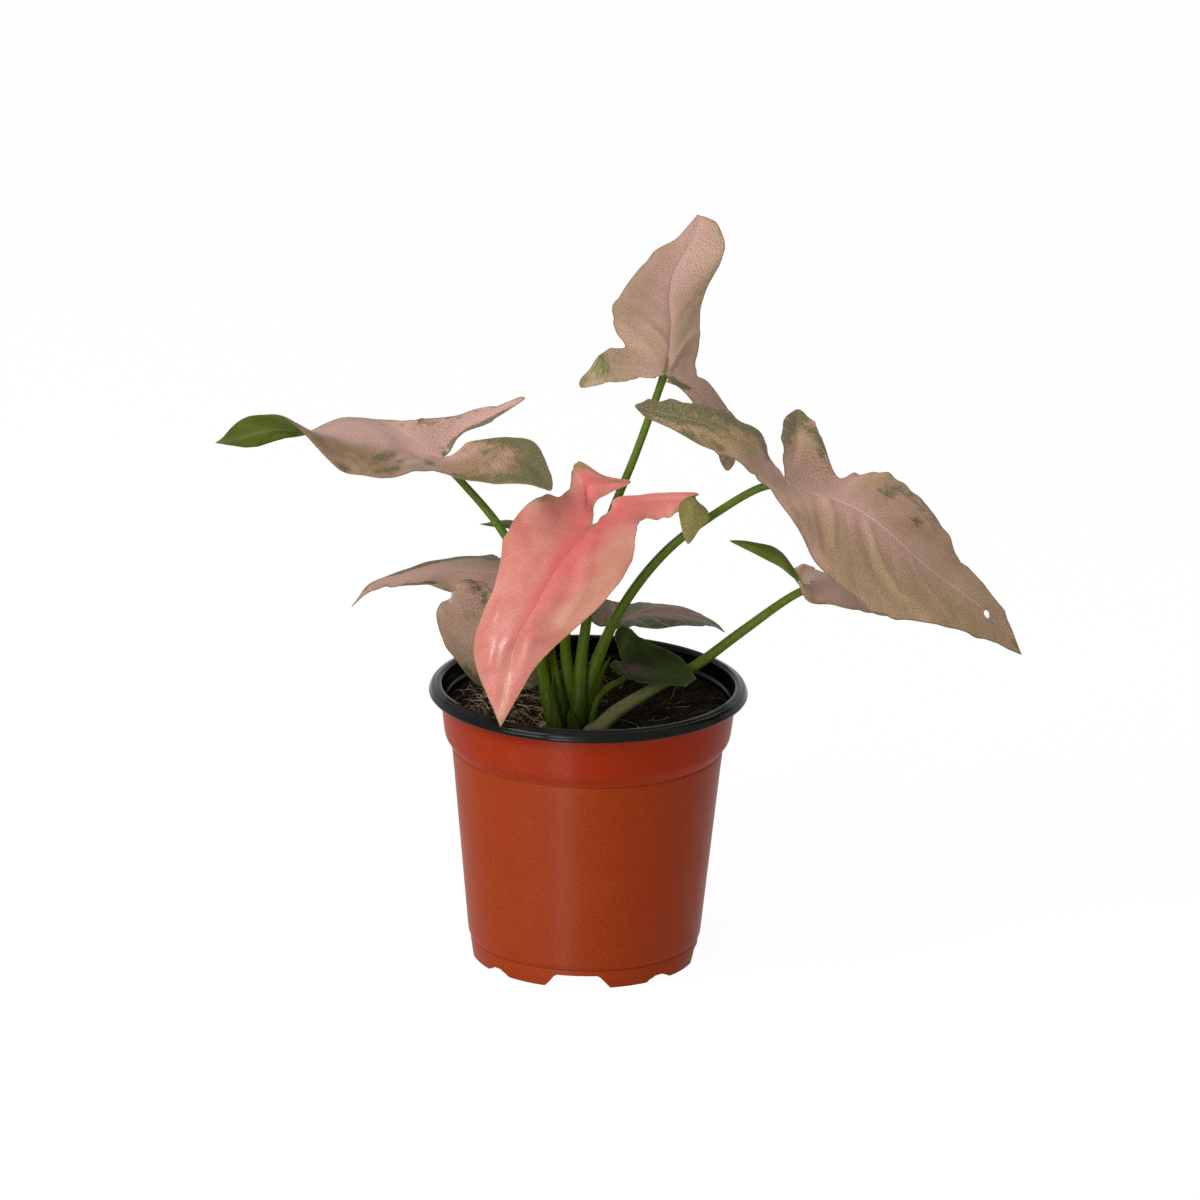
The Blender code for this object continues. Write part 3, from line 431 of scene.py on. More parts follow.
# %% The ten leaves, mm from the pot's axis
LEAVES = {
    "top_leaf": dict(
        length=66, left=(21, 32, 50, 9), right=(20, 42, 32, 9), radius=(2, 1.25),
        rib=[(24, 0, 205), (25.5, 16, 218.5), (26.5, 33, 232.5), (34, 44, 248.5)],
        left_edge=[(10, 4, 212.5), (7.5, 8, 217.5), (6, 12, 221.5), (9, 20, 227.5), (16, 30, 234.5),
            (27.5, 40, 241.5)],
        right_edge=[(33.5, 10, 204.5), (35, 18, 210.5), (35.5, 26, 219), (37.5, 32, 226), (43.5, 38, 238.5),
            (40, 43, 246.5)],
        left_lobe=(FIVE, [(6.5, 2, 212.5), (1.5, -1, 210), (-4, -6, 203), (2, -7, 203), (16, -3, 204.5)]),
        right_lobe=(FIVE, [(38.5, 11, 199.5), (49, 10, 180), (45.5, 2, 171), (40, 1, 183.5),
            (31.5, 2, 197.5)]),
        stalk=[(-3.6, -16.2), (-3, -15.5, 97), (-2, -11, 113), (4.5, -4, 149.5), (15, 0, 178.5),
            (20.5, 1, 195)]),
    "left_leaf": dict(
        length=88, left=(24, 42, 38, 10), right=(20, 32, 38, 8), radius=(1.9, 1.25),
        rib=[(-50, 0, 175), (-69.5, -4, 181), (-98.5, -13, 187.5), (-125.5, -22, 185)],
        left_edge=[(-52, -15, 174.5), (-59.5, -20, 176), (-69, -24, 175), (-84, -24, 177),
            (-102.5, -17, 193), (-118, -18, 191.5)],
        right_edge=[(-55.5, 14, 184), (-64.5, 15, 182.5), (-78, 14, 184), (-90.5, 0, 184.5),
            (-102.5, -14, 185), (-114, -19, 182.5)],
        left_lobe=(SIX_INNER, [(-40.5, -19, 173), (-23, -25, 174), (-14, -24, 172.5), (-17.5, -17, 180),
            (-22, -12, 185), (-39.5, -5, 182.5)]),
        right_lobe=(FIVE, [(-45.5, 18, 184), (-35, 20, 186.5), (-23.5, 18, 190.5), (-34, 12, 184),
            (-45, 6, 180)]),
        stalk=[(-10.8, -17.5), (-13, -16, 93.5), (-15.5, -12.5, 104.5), (-20.5, -8.5, 133.5),
            (-30.5, -4, 151.5), (-43.5, 0, 166)]),
    "front_leaf": dict(
        length=76, left=(20, 54, 58, 8), right=(21, 30, 35, 9), radius=(1.9, 1.2),
        rib=[(0.5, -22, 159), (-12, -34, 146), (-23.5, -42, 126.5), (-29, -47, 95.5)],
        left_edge=[(15.5, -22, 160), (15, -26, 157), (14, -30, 149.5), (6, -36, 138), (-8, -40, 125),
            (-19, -44, 113.5)],
        right_edge=[(-10, -16, 167), (-18, -22, 168), (-27, -28, 159.5), (-32, -33, 140.5),
            (-38.5, -40, 122), (-35, -44, 108.5)],
        left_lobe=(SEVEN, [(22, -20, 160), (29, -21, 164), (38.6, -26, 165.8), (32.5, -36, 157),
            (28.9, -32, 168.8), (36, -20, 170), (9, -16, 167)]),
        right_lobe=(SIX_OUTER, [(-6.5, -12, 173.5), (-4, -14, 178), (4.5, -14, 173), (11.5, -14, 172),
            (5, -14, 167), (1, -16, 163.5)]),
        stalk=[(-4.5, -11), (-5.3, -11.5, 95.5), (-8, -11, 113), (-5, -13, 136), (-1, -18, 153)]),
    "right_leaf": dict(
        length=104, left=(24, 40, 45, 10), right=(32, 62, 22, 10), radius=(2.1, 1.3),
        rib=[(64.5, -8, 172), (89.5, -8, 161.5), (115.5, -3, 138.5), (146, 4, 107)],
        left_edge=[(82, 8, 168), (91.5, 12, 167), (102.5, 12, 167), (114.5, 12, 155), (124.5, 11, 139.5),
            (138, 8, 124)],
        right_edge=[(60, -20, 171.5), (68, -29, 162), (76.5, -34, 149.5), (93, -31, 135.5),
            (114.5, -22, 126.5), (133, -8, 117)],
        left_lobe=(FIVE, [(78.5, 16, 175), (75, 24, 180.5), (69.5, 28, 185.5), (64, 20, 181),
            (64.5, 6, 177.5)]),
        right_lobe=(FIVE, [(51, -24, 180), (32.5, -28, 191), (14, -24, 201.5), (36.5, -16, 199),
            (55, -10, 188.5)]),
        stalk=[(0, -12), (0.2, -12.3, 96), (4.8, -12, 113.5), (13.5, -11, 131), (26.5, -10, 147.5),
            (43, -9, 160.5), (56.5, -8, 168.5)]),
    "lower_right_leaf": dict(
        length=54, left=(16, 20, 45, 6), right=(16, 30, 35, 6), radius=(2.3, 1.4),
        rib=[(75, 2, 132.5), (86.5, 8, 129), (99, 18, 122), (112, 28, 114)],
        left_edge=[(79.5, 14, 132), (83, 18, 131.5), (88, 22, 130), (95.5, 27, 126), (103, 30, 122),
            (108.5, 30, 117.5)],
        right_edge=[(72.5, -8, 129.5), (78, -8, 128.5), (85, -6, 126.5), (92.5, 0, 123), (101.5, 8, 118.5),
            (107.5, 18, 114.5)],
        left_lobe=(FIVE, [(75, 20, 131.5), (72, 22, 132.5), (69, 21, 131), (69, 14, 130.2),
            (72, 6.5, 128.9)]),
        right_lobe=(FIVE, [(68, -4, 139.5), (60, -6, 147.5), (46.5, -12, 151), (57.5, -10, 144.5),
            (67.5, -8, 138)]),
        stalk=[(0.5, -23), (3.5, -20.5, 86.6), (9, -16, 90.6), (21, -6, 95.5), (35, 4, 100.5), (51, 8, 112),
            (67.5, 6, 125.5)]),
    "lower_left_leaf": dict(
        length=62, left=(14, 20, 40, 6), right=(14, 20, 40, 6), radius=(1.8, 1.1),
        rib=[(-28, 14, 130), (-46, 18, 129.5), (-64, 20, 125.5), (-81, 16, 116.5)],
        left_edge=[(-28.5, 2, 127), (-35.5, 2, 125.5), (-43.5, 4, 125), (-54, 8, 127.5), (-65, 12, 125),
            (-74, 14, 122.5)],
        right_edge=[(-28, 26, 131.5), (-33.5, 31, 130.5), (-41, 34, 129.5), (-53.5, 34, 127.5),
            (-65, 30, 125), (-74.5, 23, 122)],
        left_lobe=(FIVE, [(-18.5, 2, 126), (-13.5, 2, 126), (-10, 4, 127.5), (-13.5, 8, 128.5),
            (-18.5, 10, 129.5)]),
        right_lobe=(FIVE, [(-19, 30, 130.5), (-14, 32, 129), (-10.5, 30, 128), (-14, 26, 128.5),
            (-19, 20, 130)]),
        stalk=[(-8.8, -13.3), (-10, -12.5, 95.5), (-12.6, -8, 107), (-14.2, -1, 113), (-16, 4, 119),
            (-22.5, 9.5, 125)]),
    "drooping_leaf": dict(
        length=42, left=(17, 16, 45, 6), right=(20, 18, 50, 7), radius=(1.6, 1.1),
        rib=[(-29.5, -4, 122.5), (-30, -2, 110.5), (-30, 0, 100.5), (-28, 2, 91.5)],
        left_edge=[(-19, 0, 121.5), (-17.5, 0, 114.5), (-17, 0, 107.5), (-16.5, 1, 100.5), (-17, 2, 94.5),
            (-22, 2, 93)],
        right_edge=[(-46, -8, 128.5), (-49, -9, 126.5), (-51.5, -10, 123.5), (-50, -8, 115),
            (-45.5, -5, 106), (-37.5, 0, 94.5)],
        left_lobe=(FIVE, [(-19, -1, 125), (-18, -2, 127), (-18.5, -3, 129), (-21, -4, 129), (-25, -4, 127)]),
        right_lobe=(FIVE, [(-45.5, -9, 131), (-44, -10, 134), (-40.5, -10, 134.5), (-35.5, -8, 133.5),
            (-33.5, -6, 130)]),
        stalk=[(-10.5, -8.5), (-11.5, -5, 95), (-13.5, 2, 104), (-18.5, 7, 113.5), (-25, 4, 120)]),
    "back_leaf": dict(
        length=42, left=(12, 18, 45, 5), right=(12, 20, 35, 5), radius=(1.6, 1.1),
        rib=[(11, 20, 113), (22, 26, 112.5), (34, 32, 109.5), (46.5, 36, 103)],
        left_edge=[(13, 32, 114), (16.5, 35, 113.5), (20.5, 38, 112.5), (30, 40, 110.5), (38, 40, 108),
            (43, 39, 105.5)],
        right_edge=[(12.5, 12, 111.5), (15, 12, 112.5), (22, 14, 111), (31, 20, 110), (38.5, 27, 108),
            (43, 33, 105.5)],
        left_lobe=(FIVE, [(8.5, 34, 114), (4.5, 36, 114), (2, 34, 113.5), (4, 30, 113.5), (7.5, 26, 113.5)]),
        right_lobe=(FIVE, [(9, 10, 112.5), (3.5, 8, 113.5), (0.5, 9, 115), (2, 14, 118), (6, 18, 118)]),
        stalk=[(-2.5, -7), (0.5, -3, 94.5), (4.5, 7, 106), (7.5, 15.5, 110)]),
    "small_leaf": dict(
        length=26, left=(10, 15, 30, 5), right=(9, 12, 55, 5), radius=(1.5, 0.9),
        rib=[(11.5, -2, 103.5), (19, -2, 102), (27.5, -3, 100.5), (36.5, -5, 99.5)],
        left_edge=[(17, 6, 110.5), (18.5, 7, 109.5), (21.5, 7, 108), (26.5, 6, 106), (31, 4, 104),
            (34, 0, 102)],
        right_edge=[(14.5, -9, 100), (16.5, -10, 100), (19.5, -10, 99.5), (24.5, -9, 98.5), (29, -8, 98),
            (33, -7, 98)],
        left_lobe=(FIVE, [(15.5, 6, 112), (13.5, 7, 113.5), (10.5, 7, 114), (8.5, 6, 111), (10, 3, 106.5)]),
        right_lobe=(FIVE, [(12, -9, 101.5), (9, -10, 103.5), (7, -10, 105.5), (8.5, -8, 106.5),
            (10, -5, 105.5)]),
        stalk=[(1.3, -17.2), (3, -15, 95), (7, -10, 98), (12.3, -4, 99.4)]),
    "young_leaf": dict(
        length=26, left=(4, 0, 0, 0), right=(4, 0, 0, 0), radius=(1.2, 0.8),
        rib=[(-13, 2, 144), (-22, 4, 148.5), (-30, 6, 150), (-37.5, 6, 149.5)],
        left_edge=[(-13.5, 0, 144), (-17, -1, 145), (-20.5, 0, 147), (-24.5, 2, 148.5), (-29.5, 4, 149),
            (-33.5, 5, 149)],
        right_edge=[(-13.5, 4, 144.5), (-17, 7, 146.5), (-21.5, 8, 148.5), (-25.5, 9, 150), (-30, 9, 150),
            (-34, 8, 149.5)],
        left_lobe=((), []),
        right_lobe=((), []),
        stalk=[(-7, -8.5), (-7.5, -6.5, 95), (-9, -3, 112), (-11.5, -1, 128.5), (-12.8, 0, 140)]),
}
print(len(LEAVES), "leaves")


# %% [markdown]
# ## From stations to a smooth leaf
# A curve through the stations gives the flat outline and each stalk's route. The thin-plate map is the
# bending of a springy sheet that is pinned at the stations: it passes through every pin and stays as
# smooth as it can between them.

# %% Flat stations and smooth paths
def lobe_frame(leaf, side):
    """The direction a lobe points in on the flat leaf, and the direction across it, outwards."""
    a = math.radians(leaf[side][2])
    return (np.array([SIDES[side] * math.sin(a), -math.cos(a)]),
            np.array([SIDES[side] * math.cos(a), math.sin(a)]))


def flat_side(leaf, side):
    """The flat stations along one margin and round its lobe."""
    width, lobe, _, lobe_width = leaf[side]
    edge = [(SIDES[side] * share * width, along * leaf["length"]) for along, share in SIDE_STATIONS]
    out, across = lobe_frame(leaf, side)
    shares = [LOBE_STATIONS[name] for name in leaf[side + "_lobe"][0]]
    return edge, [tuple(out * share * lobe + across * shift * lobe_width) for share, shift in shares]


def smooth_path(points, step):
    """Points along a centripetal Catmull-Rom curve through the given ones, about a step apart."""
    p = np.array(points, dtype=float)
    p = np.vstack([2 * p[0] - p[1], p, 2 * p[-1] - p[-2]])
    path = []
    for a, b, c, d in zip(p[:-3], p[1:-2], p[2:-1], p[3:]):
        t = np.cumsum([0.0] + [np.linalg.norm(v) ** 0.5 for v in (b - a, c - b, d - c)])
        count = max(1, round(float(np.linalg.norm(c - b)) / step))
        s = np.linspace(t[1], t[2], count, endpoint=False)[:, None]
        ab = a + (b - a) * (s - t[0]) / (t[1] - t[0])
        bc = b + (c - b) * (s - t[1]) / (t[2] - t[1])
        cd = c + (d - c) * (s - t[2]) / (t[3] - t[2])
        left = ab + (bc - ab) * (s - t[0]) / (t[2] - t[0])
        right = bc + (cd - bc) * (s - t[1]) / (t[3] - t[1])
        path.append(left + (right - left) * (s - t[1]) / (t[2] - t[1]))
    return np.vstack(path + [p[-2]])


def flat_outline(leaf, step):
    """The closed outline of the flat leaf, from the stalk round the left side to the tip and back."""
    halves = []
    for side in SIDES:
        edge, lobe = flat_side(leaf, side)
        halves.append(smooth_path([(0.0, 0.0)] + lobe[::-1] + edge + [(0.0, leaf["length"])], step))
    return np.vstack([halves[0], halves[1][-2:0:-1]])


print("outline of the largest leaf:", len(flat_outline(LEAVES["right_leaf"], 1.0)), "points")


# %% From flat to air
def bend(leaf):
    """A thin-plate map from the flat blade to the leaf's place in the air."""
    flat = [(0.0, leaf["length"] * k / 3.0) for k in range(4)]
    real = list(leaf["rib"])
    for side in SIDES:
        edge, lobe = flat_side(leaf, side)
        flat += edge + lobe
        real += leaf[side + "_edge"] + leaf[side + "_lobe"][1]
    flat = np.array(flat)
    real = np.array(real, dtype=float)
    n = len(flat)

    def kernel(points):
        square = np.sum((points[:, None] - flat[None]) ** 2, axis=2)
        return np.where(square > 1e-9, square * np.log(np.maximum(square, 1e-9)), 0.0)

    affine = np.column_stack([np.ones(n), flat])
    system = np.block([[kernel(flat), affine], [affine.T, np.zeros((3, 3))]])
    weights = np.linalg.solve(system, np.vstack([real, np.zeros((3, 3))]))

    def place(points):
        points = np.atleast_2d(np.asarray(points, dtype=float))
        return kernel(points) @ weights[:n] + np.column_stack([np.ones(len(points)), points]) @ weights[n:]

    return place


def upper_normals(place, points):
    """The directions that the leaf's upper face looks in at flat points."""
    points = np.atleast_2d(np.asarray(points, dtype=float))
    near = 0.4  # mm
    across = place(points + [near, 0.0]) - place(points - [near, 0.0])
    along = place(points + [0.0, near]) - place(points - [0.0, near])
    facing = np.cross(across, along)
    return facing / np.linalg.norm(facing, axis=1)[:, None]


print("middle of the front leaf, mm:", bend(LEAVES["front_leaf"])((0.0, 30.0))[0].round(1))


# %% [markdown]
# ## Distances on the flat leaf
# The edge distance drives the rim, the flecks and the ripple. The rib distance and the vein place
# drive the relief. Each lobe has a rib of its own, so a point belongs to whichever rib is nearest. An
# image laid over the leaf could carry all this, but numbers on the mesh stay sharp at any size.

# %% Noise, steps and distances
def bumps(x, y, size, seed):
    """Smooth noise from -1 to 1."""
    return noise.noise(Vector((x / size, y / size, seed)))


def wavy(points, size, seed):
    return np.array([bumps(x, y, size, seed) for x, y in points])


def soft_step(value, start, end):
    t = np.clip((value - start) / (end - start), 0.0, 1.0)
    return t * t * (3.0 - 2.0 * t)


def distance_to_lines(points, starts, ends):
    """The distance from each point to the nearest of some segments."""
    span = ends - starts
    length = np.maximum(np.sum(span * span, axis=1), 1e-9)
    to = points[:, None] - starts[None]
    share = np.clip(np.sum(to * span[None], axis=2) / length, 0.0, 1.0)
    return np.min(np.linalg.norm(to - share[..., None] * span[None], axis=2), axis=1)


def is_inside(points, outline):
    ahead = np.roll(outline, -1, axis=0)
    x, y = points[:, :1], points[:, 1:]
    rise = np.where(ahead[:, 1] == outline[:, 1], 1e-9, ahead[:, 1] - outline[:, 1])
    crosses = (outline[:, 1] > y) != (ahead[:, 1] > y)
    at = outline[:, 0] + (y - outline[:, 1]) * (ahead[:, 0] - outline[:, 0]) / rise
    return np.count_nonzero(crosses & (at > x), axis=1) % 2 == 1


def stroke(points, line, size):
    """How close each point is to a drawn line: 1 on it, fading over its size."""
    line = np.array(line, dtype=float)
    starts, ends = (line[:-1], line[1:]) if len(line) > 1 else (line, line)
    return np.exp(-(distance_to_lines(points, starts, ends) / size) ** 2)


print("a dab of 2 mm, at 0, 1, 2 and 4 mm:",
      stroke(np.array([(0, 0), (1, 0), (2, 0), (4, 0)]), [(0, 0)], 2.0).round(2))


# %% Ribs and veins
RIB_END = 0.97       # where a rib ends, as a share of its length
RIB = (0.75, 1.0)    # the slant of the main rib's veins, and its thickness
LOBE_RIB = (0.9, 0.12)


def rib_lines(leaf):
    """The main rib and each lobe's rib on the flat leaf: where it ends, its veins' slant, its thickness."""
    lines = [(np.array([0.0, leaf["length"]]), *RIB)]
    return lines + [(lobe_frame(leaf, side)[0] * leaf[side][1], *LOBE_RIB) for side in SIDES if leaf[side][1]]


def vein_numbers(leaf, points, seed):
    """For each flat point: how far the nearest rib is, and that distance in units of the rib's
    thickness there, how far along the rib its vein starts, and how clearly the veins show."""
    offsets, places, reach, thick = [], [], [], []
    for end, slant, thickness in rib_lines(leaf):
        length = np.linalg.norm(end)
        way = end / length
        along = points @ way
        offsets.append(np.linalg.norm(points - np.clip(along, 0.0, length)[:, None] * way, axis=1))
        places.append(along - slant * offsets[-1])
        reach.append(length)
        thick.append(np.clip(1.0 - along / (RIB_END * length), 0.0, 1.0) ** 0.7 * thickness)
    offsets, places = np.array(offsets), np.array(places)
    order = np.argsort(offsets, axis=0)
    columns = np.arange(len(points))
    off = offsets[order[0], columns]
    place = places[order[0], columns] + 3.0 * wavy(points, 16.0, seed + 5.0)
    gap = offsets[order[1], columns] - off if len(offsets) > 1 else np.full(len(points), 9.0)
    clear = soft_step(gap, 0.5, 4.0) * soft_step(np.array(reach)[order[0]] - place, 2.0, 12.0)
    return off, np.column_stack([off / np.maximum(np.array(thick)[order[0], columns], 0.05), place, clear])


print("ribs:", {name: len(rib_lines(leaf)) for name, leaf in LEAVES.items()})


# %% [markdown]
# ## What each leaf has been through
# No two blades match: each has its own flush of pink, green mottling, creases, small tears and, on the
# largest one, a hole. These are drawn on the flat leaf as short strokes, in millimetres from the
# junction with the stalk, x to the right of the rib and y towards the tip. One point makes a dab.

# %% Tints
# for each kind of tint: size, strength, line
TINTS = {
    "top_leaf": dict(
        rose=[(9, 0.7, [(-1, 36), (0, 48), (-2, 60)]), (1.8, 0.5, [(0, 8), (0.5, 40)]),
            (5, 0.35, [(-5, -4)]), (7, 0.4, [(6, -8), (14, -14)])],
        green=[(4, 0.24, [(14, 34), (17, 38)]), (6, 0.26, [(-26, -20), (-18, -8)]),
            (2.4, 0.55, [(-29, -21), (-25, -25)]), (3.5, 0.3, [(-19, -8), (-15, -14)]),
            (0.6, 1.2, [(-0.3, 0.5), (0, 7)]), (4, 0.3, [(21, -33)]),
            (1.6, 1.2, [(1.8, -3), (3.2, -9), (5, -11)])],
        pale=[(9, 1, [(-27, -21), (-18, -10)])]),
    "left_leaf": dict(
        rose=[(10, 0.9, [(9, 40), (9, 15)]), (6, 0.5, [(3, 8), (10, 47)]), (5, 0.5, [(-8, -8), (-15, -18)]),
            (6, 0.5, [(7, -4), (15, -18)])],
        green=[(3.4, 0.5, [(-11, 32), (-10, 28)]), (2.2, 0.4, [(-8, 25)]),
            (2.6, 0.4, [(-13.5, 20), (-12.5, 18)]), (2.6, 0.45, [(-19, 29), (-19, 21)]),
            (2.5, 0.5, [(-19, 43)]), (3.2, 0.55, [(-8.5, 4.5), (-12, 4)]),
            (7.5, 0.62, [(-25, -31), (-21, -27)]), (2.4, 0.5, [(-8, -19), (-11, -23), (-15, -27)]),
            (1.2, 0.7, [(-11, -15)]), (2.5, 0.45, [(-19, -9), (-17, -5)]),
            (1.5, 0.5, [(-20, -14), (-23, -19)]), (1.6, 0.8, [(3, -5), (9, -18), (15, -22)]),
            (1.2, 1, [(0.8, -0.8)]), (1.6, 0.4, [(14.5, 3)])],
        pale=[(10, 1, [(-14, 56), (-12, 42), (-16, 32)]), (5, 0.6, [(-20, 20), (-20, 8)]),
            (10, 1.1, [(-15, -9), (-24, -26), (-14, -20)]), (1.2, 0.6, [(0.5, 60), (0, 86)])]),
    "front_leaf": dict(
        rose=[(7, 1, [(2, 3), (-1, 12)]), (4, 0.6, [(-3, 20), (-8, 32)]), (3, 0.6, [(0, 14), (0, 38)]),
            (5, 0.7, [(2, -6), (8, -14)]), (5, 0.5, [(-7, -4), (-14, -10)])],
        green=[(0.9, 0.9, [(0, 0), (0.8, 4)]), (0.6, 0.6, [(-1, -1), (-4, -5), (-7, -8)]),
            (0.6, 0.6, [(1.5, -1), (3, -5)]), (1, 0.6, [(14, -3), (16.5, -10), (19, -17), (16, -25)]),
            (2, 0.6, [(14.5, -8), (17, -14)]), (3, 0.9, [(-38, -16), (-42, -20)]),
            (2.2, 1, [(-32, -26), (-37, -26)]), (1.5, 0.3, [(17, 4), (19, 9)]), (1.2, 0.8, [(0, 76)]),
            (5, 0.4, [(-38, -24), (-44, -28)])],
        pale=[(5, 0.6, [(-18, 12), (-16, 24), (-14, 36), (-11, 48)]), (3, 0.7, [(18, 3), (20, 12)]),
            (1.6, 0.5, [(0, 58), (0, 76)])],
        shine=[(2, 0.9, [(2.6, 52), (2, 61)]), (1.5, 1, [(6.9, 52), (6.2, 60)]), (1.4, 1, [(10.6, 45)]),
            (0.8, 0.8, [(-0.3, 58), (-0.2, 72)]), (1.2, 0.4, [(-4, 55), (-4, 60)])]),
    "right_leaf": dict(
        rose=[(9, 0.8, [(-9, 5), (-5, 18), (0, 32)]), (5, 0.7, [(3, 30), (6, 46)]),
            (2.5, 0.5, [(2, 46), (3, 90)]), (1, 0.7, [(-3, -2), (-9, -8), (-16, -13)]),
            (1, 0.7, [(-2, -3), (-6, -10), (-10, -17)]), (4, 0.5, [(7, -6), (14, -22)])],
        green=[(2.4, 0.6, [(-12.5, 52.5)]), (3.4, 0.45, [(-15.5, 33), (-14.5, 37)]), (2, 0.35, [(-13, 26)]),
            (2.6, 0.3, [(-20, 36), (-20, 48), (-19, 59)]), (3, 0.22, [(-9, 70)]),
            (6, 0.6, [(-21, -23), (-26, -25)]), (3, 0.5, [(-13, -21), (-10, -17)]),
            (3, 0.4, [(-23, -15), (-17, -4)]),
            (2.4, 0.55, [(2.5, -14), (4, -22), (7, -32), (10, -39), (14, -46), (18, -54)]),
            (1.8, 0.4, [(13, -34), (17, -42), (20, -48)]), (3.5, 0.5, [(22, -55), (19, -49)]),
            (1.6, 0.35, [(20, -30), (23, -42)]), (8, 0.2, [(12, -28), (20, -50)]), (2.2, 0.3, [(0.2, 88.8)]),
            (3, 0.25, [(0, 102)])],
        pale=[(11, 0.9, [(12, 76), (20, 58), (20, 40)]), (7, 0.7, [(6, 86), (0, 97)]),
            (6, 0.6, [(-14, 60), (-8, 84)]), (5, 0.6, [(-20, 20), (-21, 40)]),
            (8, 0.7, [(-13, -11), (-21, -18)]), (9, 1.1, [(10, -22), (18, -44)]),
            (0.7, 0.6, [(2.5, 41), (8, 47), (14, 53)])]),
    "lower_right_leaf": dict(
        rose=[(9, 0.9, [(6, 8), (8, 26)])],
        green=[(5, 0.2, [(-8, -6)])],
        pale=[(2.5, 0.5, [(10, 6), (15, 20)])]),
    "lower_left_leaf": dict(
        rose=[(8, 0.7, [(-2, 10), (0, 45)])],
        green=[(2.4, 1, [(10.5, 4), (12, 15), (11.5, 25), (9, 36), (7, 46)]),
            (1.4, 0.45, [(-12, 30), (-8, 50)]), (3, 0.2, [(3, 56)])]),
    "drooping_leaf": dict(
        rose=[(8, 0.5, [(10, 0), (16, 14)])],
        green=[(3, 0.5, [(5, 36), (9, 33)]), (2, 0.35, [(7, 8)]), (9, 0.5, [(-12, 10), (-10, 30)]),
            (2.5, 0.35, [(14, -12), (6, -6), (0, 0), (-8, -6)]), (5, 0.5, [(2, 40)])]),
    "back_leaf": dict(
        rose=[(2.2, 0.9, [(-1, 4), (-3, 12), (-4, 20), (-4, 30)]), (1, 0.8, [(0, 2), (0, 34)]),
            (1, 0.7, [(0, 8), (5, 15), (7, 22)]), (4, 0.35, [(-5, 12), (-6, 26)]),
            (3, 0.4, [(-5, -5), (4, -7)])],
        green=[(4, 0.4, [(6, 4), (9, 16)])]),
    "small_leaf": dict(
        rose=[(2.4, 0.7, [(3, 0), (1, 6)]), (1.5, 0.5, [(0, 0), (5, -5)]), (1.2, 0.4, [(5, 5), (3, 10)])],
        pale=[(3.5, 0.6, [(0, 14), (-2, 20)])]),
}
print("tints:", sum(len(rows) for kinds in TINTS.values() for rows in kinds.values()))

# %% Ridges, nicks and holes
# A ridge has its width, lift and line; a nick or bulge of the margin x, y, size and depth; a hole x, y
# and its half axes.
RIDGES = {
    "top_leaf": [(1.4, 0.55, [(1, 2), (4, 8), (9, 11.5), (14, 12.5), (19, 12)]),
        (1.4, -0.45, [(3, 3), (8, 7), (15, 8)]), (1.2, 0.35, [(-1, 12), (-4, 16), (-9, 19)])],
    "left_leaf": [(2.2, -0.7, [(-3, 10), (-3, 44)]), (1.4, 0.4, [(-1, -2), (-8, -10), (-16, -22)])],
    "front_leaf": [(1.4, 0.4, [(-2, 5), (-5.5, 15), (-9, 26), (-11, 38), (-10, 50)]),
        (2.4, -0.4, [(-4, 22), (-7, 34), (-7, 46)]), (1.8, 0.22, [(1, 6), (6, 17), (10, 30), (12, 42)]),
        (0.6, 0.32, [(-0.8, 56), (-0.6, 66), (0, 74)]), (0.6, 0.28, [(5.6, 50), (4.8, 60), (2.6, 70)]),
        (2, 0.45, [(2.5, 53), (2, 61)]), (1.6, 0.65, [(6.9, 52), (6.2, 60)]),
        (1.6, 0.5, [(10.5, 44), (9.5, 47)]), (1.3, 0.35, [(16.7, 17), (15.5, 15)]),
        (1.6, 0.4, [(-4, 54), (-3.6, 62)]), (1, -0.3, [(-2.2, 50), (-2, 64)])],
    "right_leaf": [(0.6, 0.45, [(0, 8), (0, 96)]),
        (1.2, 0.35, [(2.5, 41), (8, 47), (13.5, 53), (17, 60), (16, 69)]),
        (2.2, -0.45, [(4, 38), (10, 43), (16, 50), (20, 60)]), (1.4, 0.4, [(1, 20), (9, 28), (20, 33)]),
        (2, -0.4, [(2, 16), (12, 22), (24, 30)]), (1.2, 0.4, [(2, 60), (8, 68), (12, 78)]),
        (1.2, 0.35, [(0, 22), (-7, 30), (-14, 42)]), (1.2, 0.35, [(0, 42), (-6, 50), (-10, 60)])],
    "lower_right_leaf": [(1.5, -0.5, [(8, 4), (12, 20)])],
    "back_leaf": [(1.2, 0.4, [(0, 8), (5, 15), (7, 22)]), (1.2, 0.4, [(-1, 6), (-5, 14), (-6, 24)])],
}
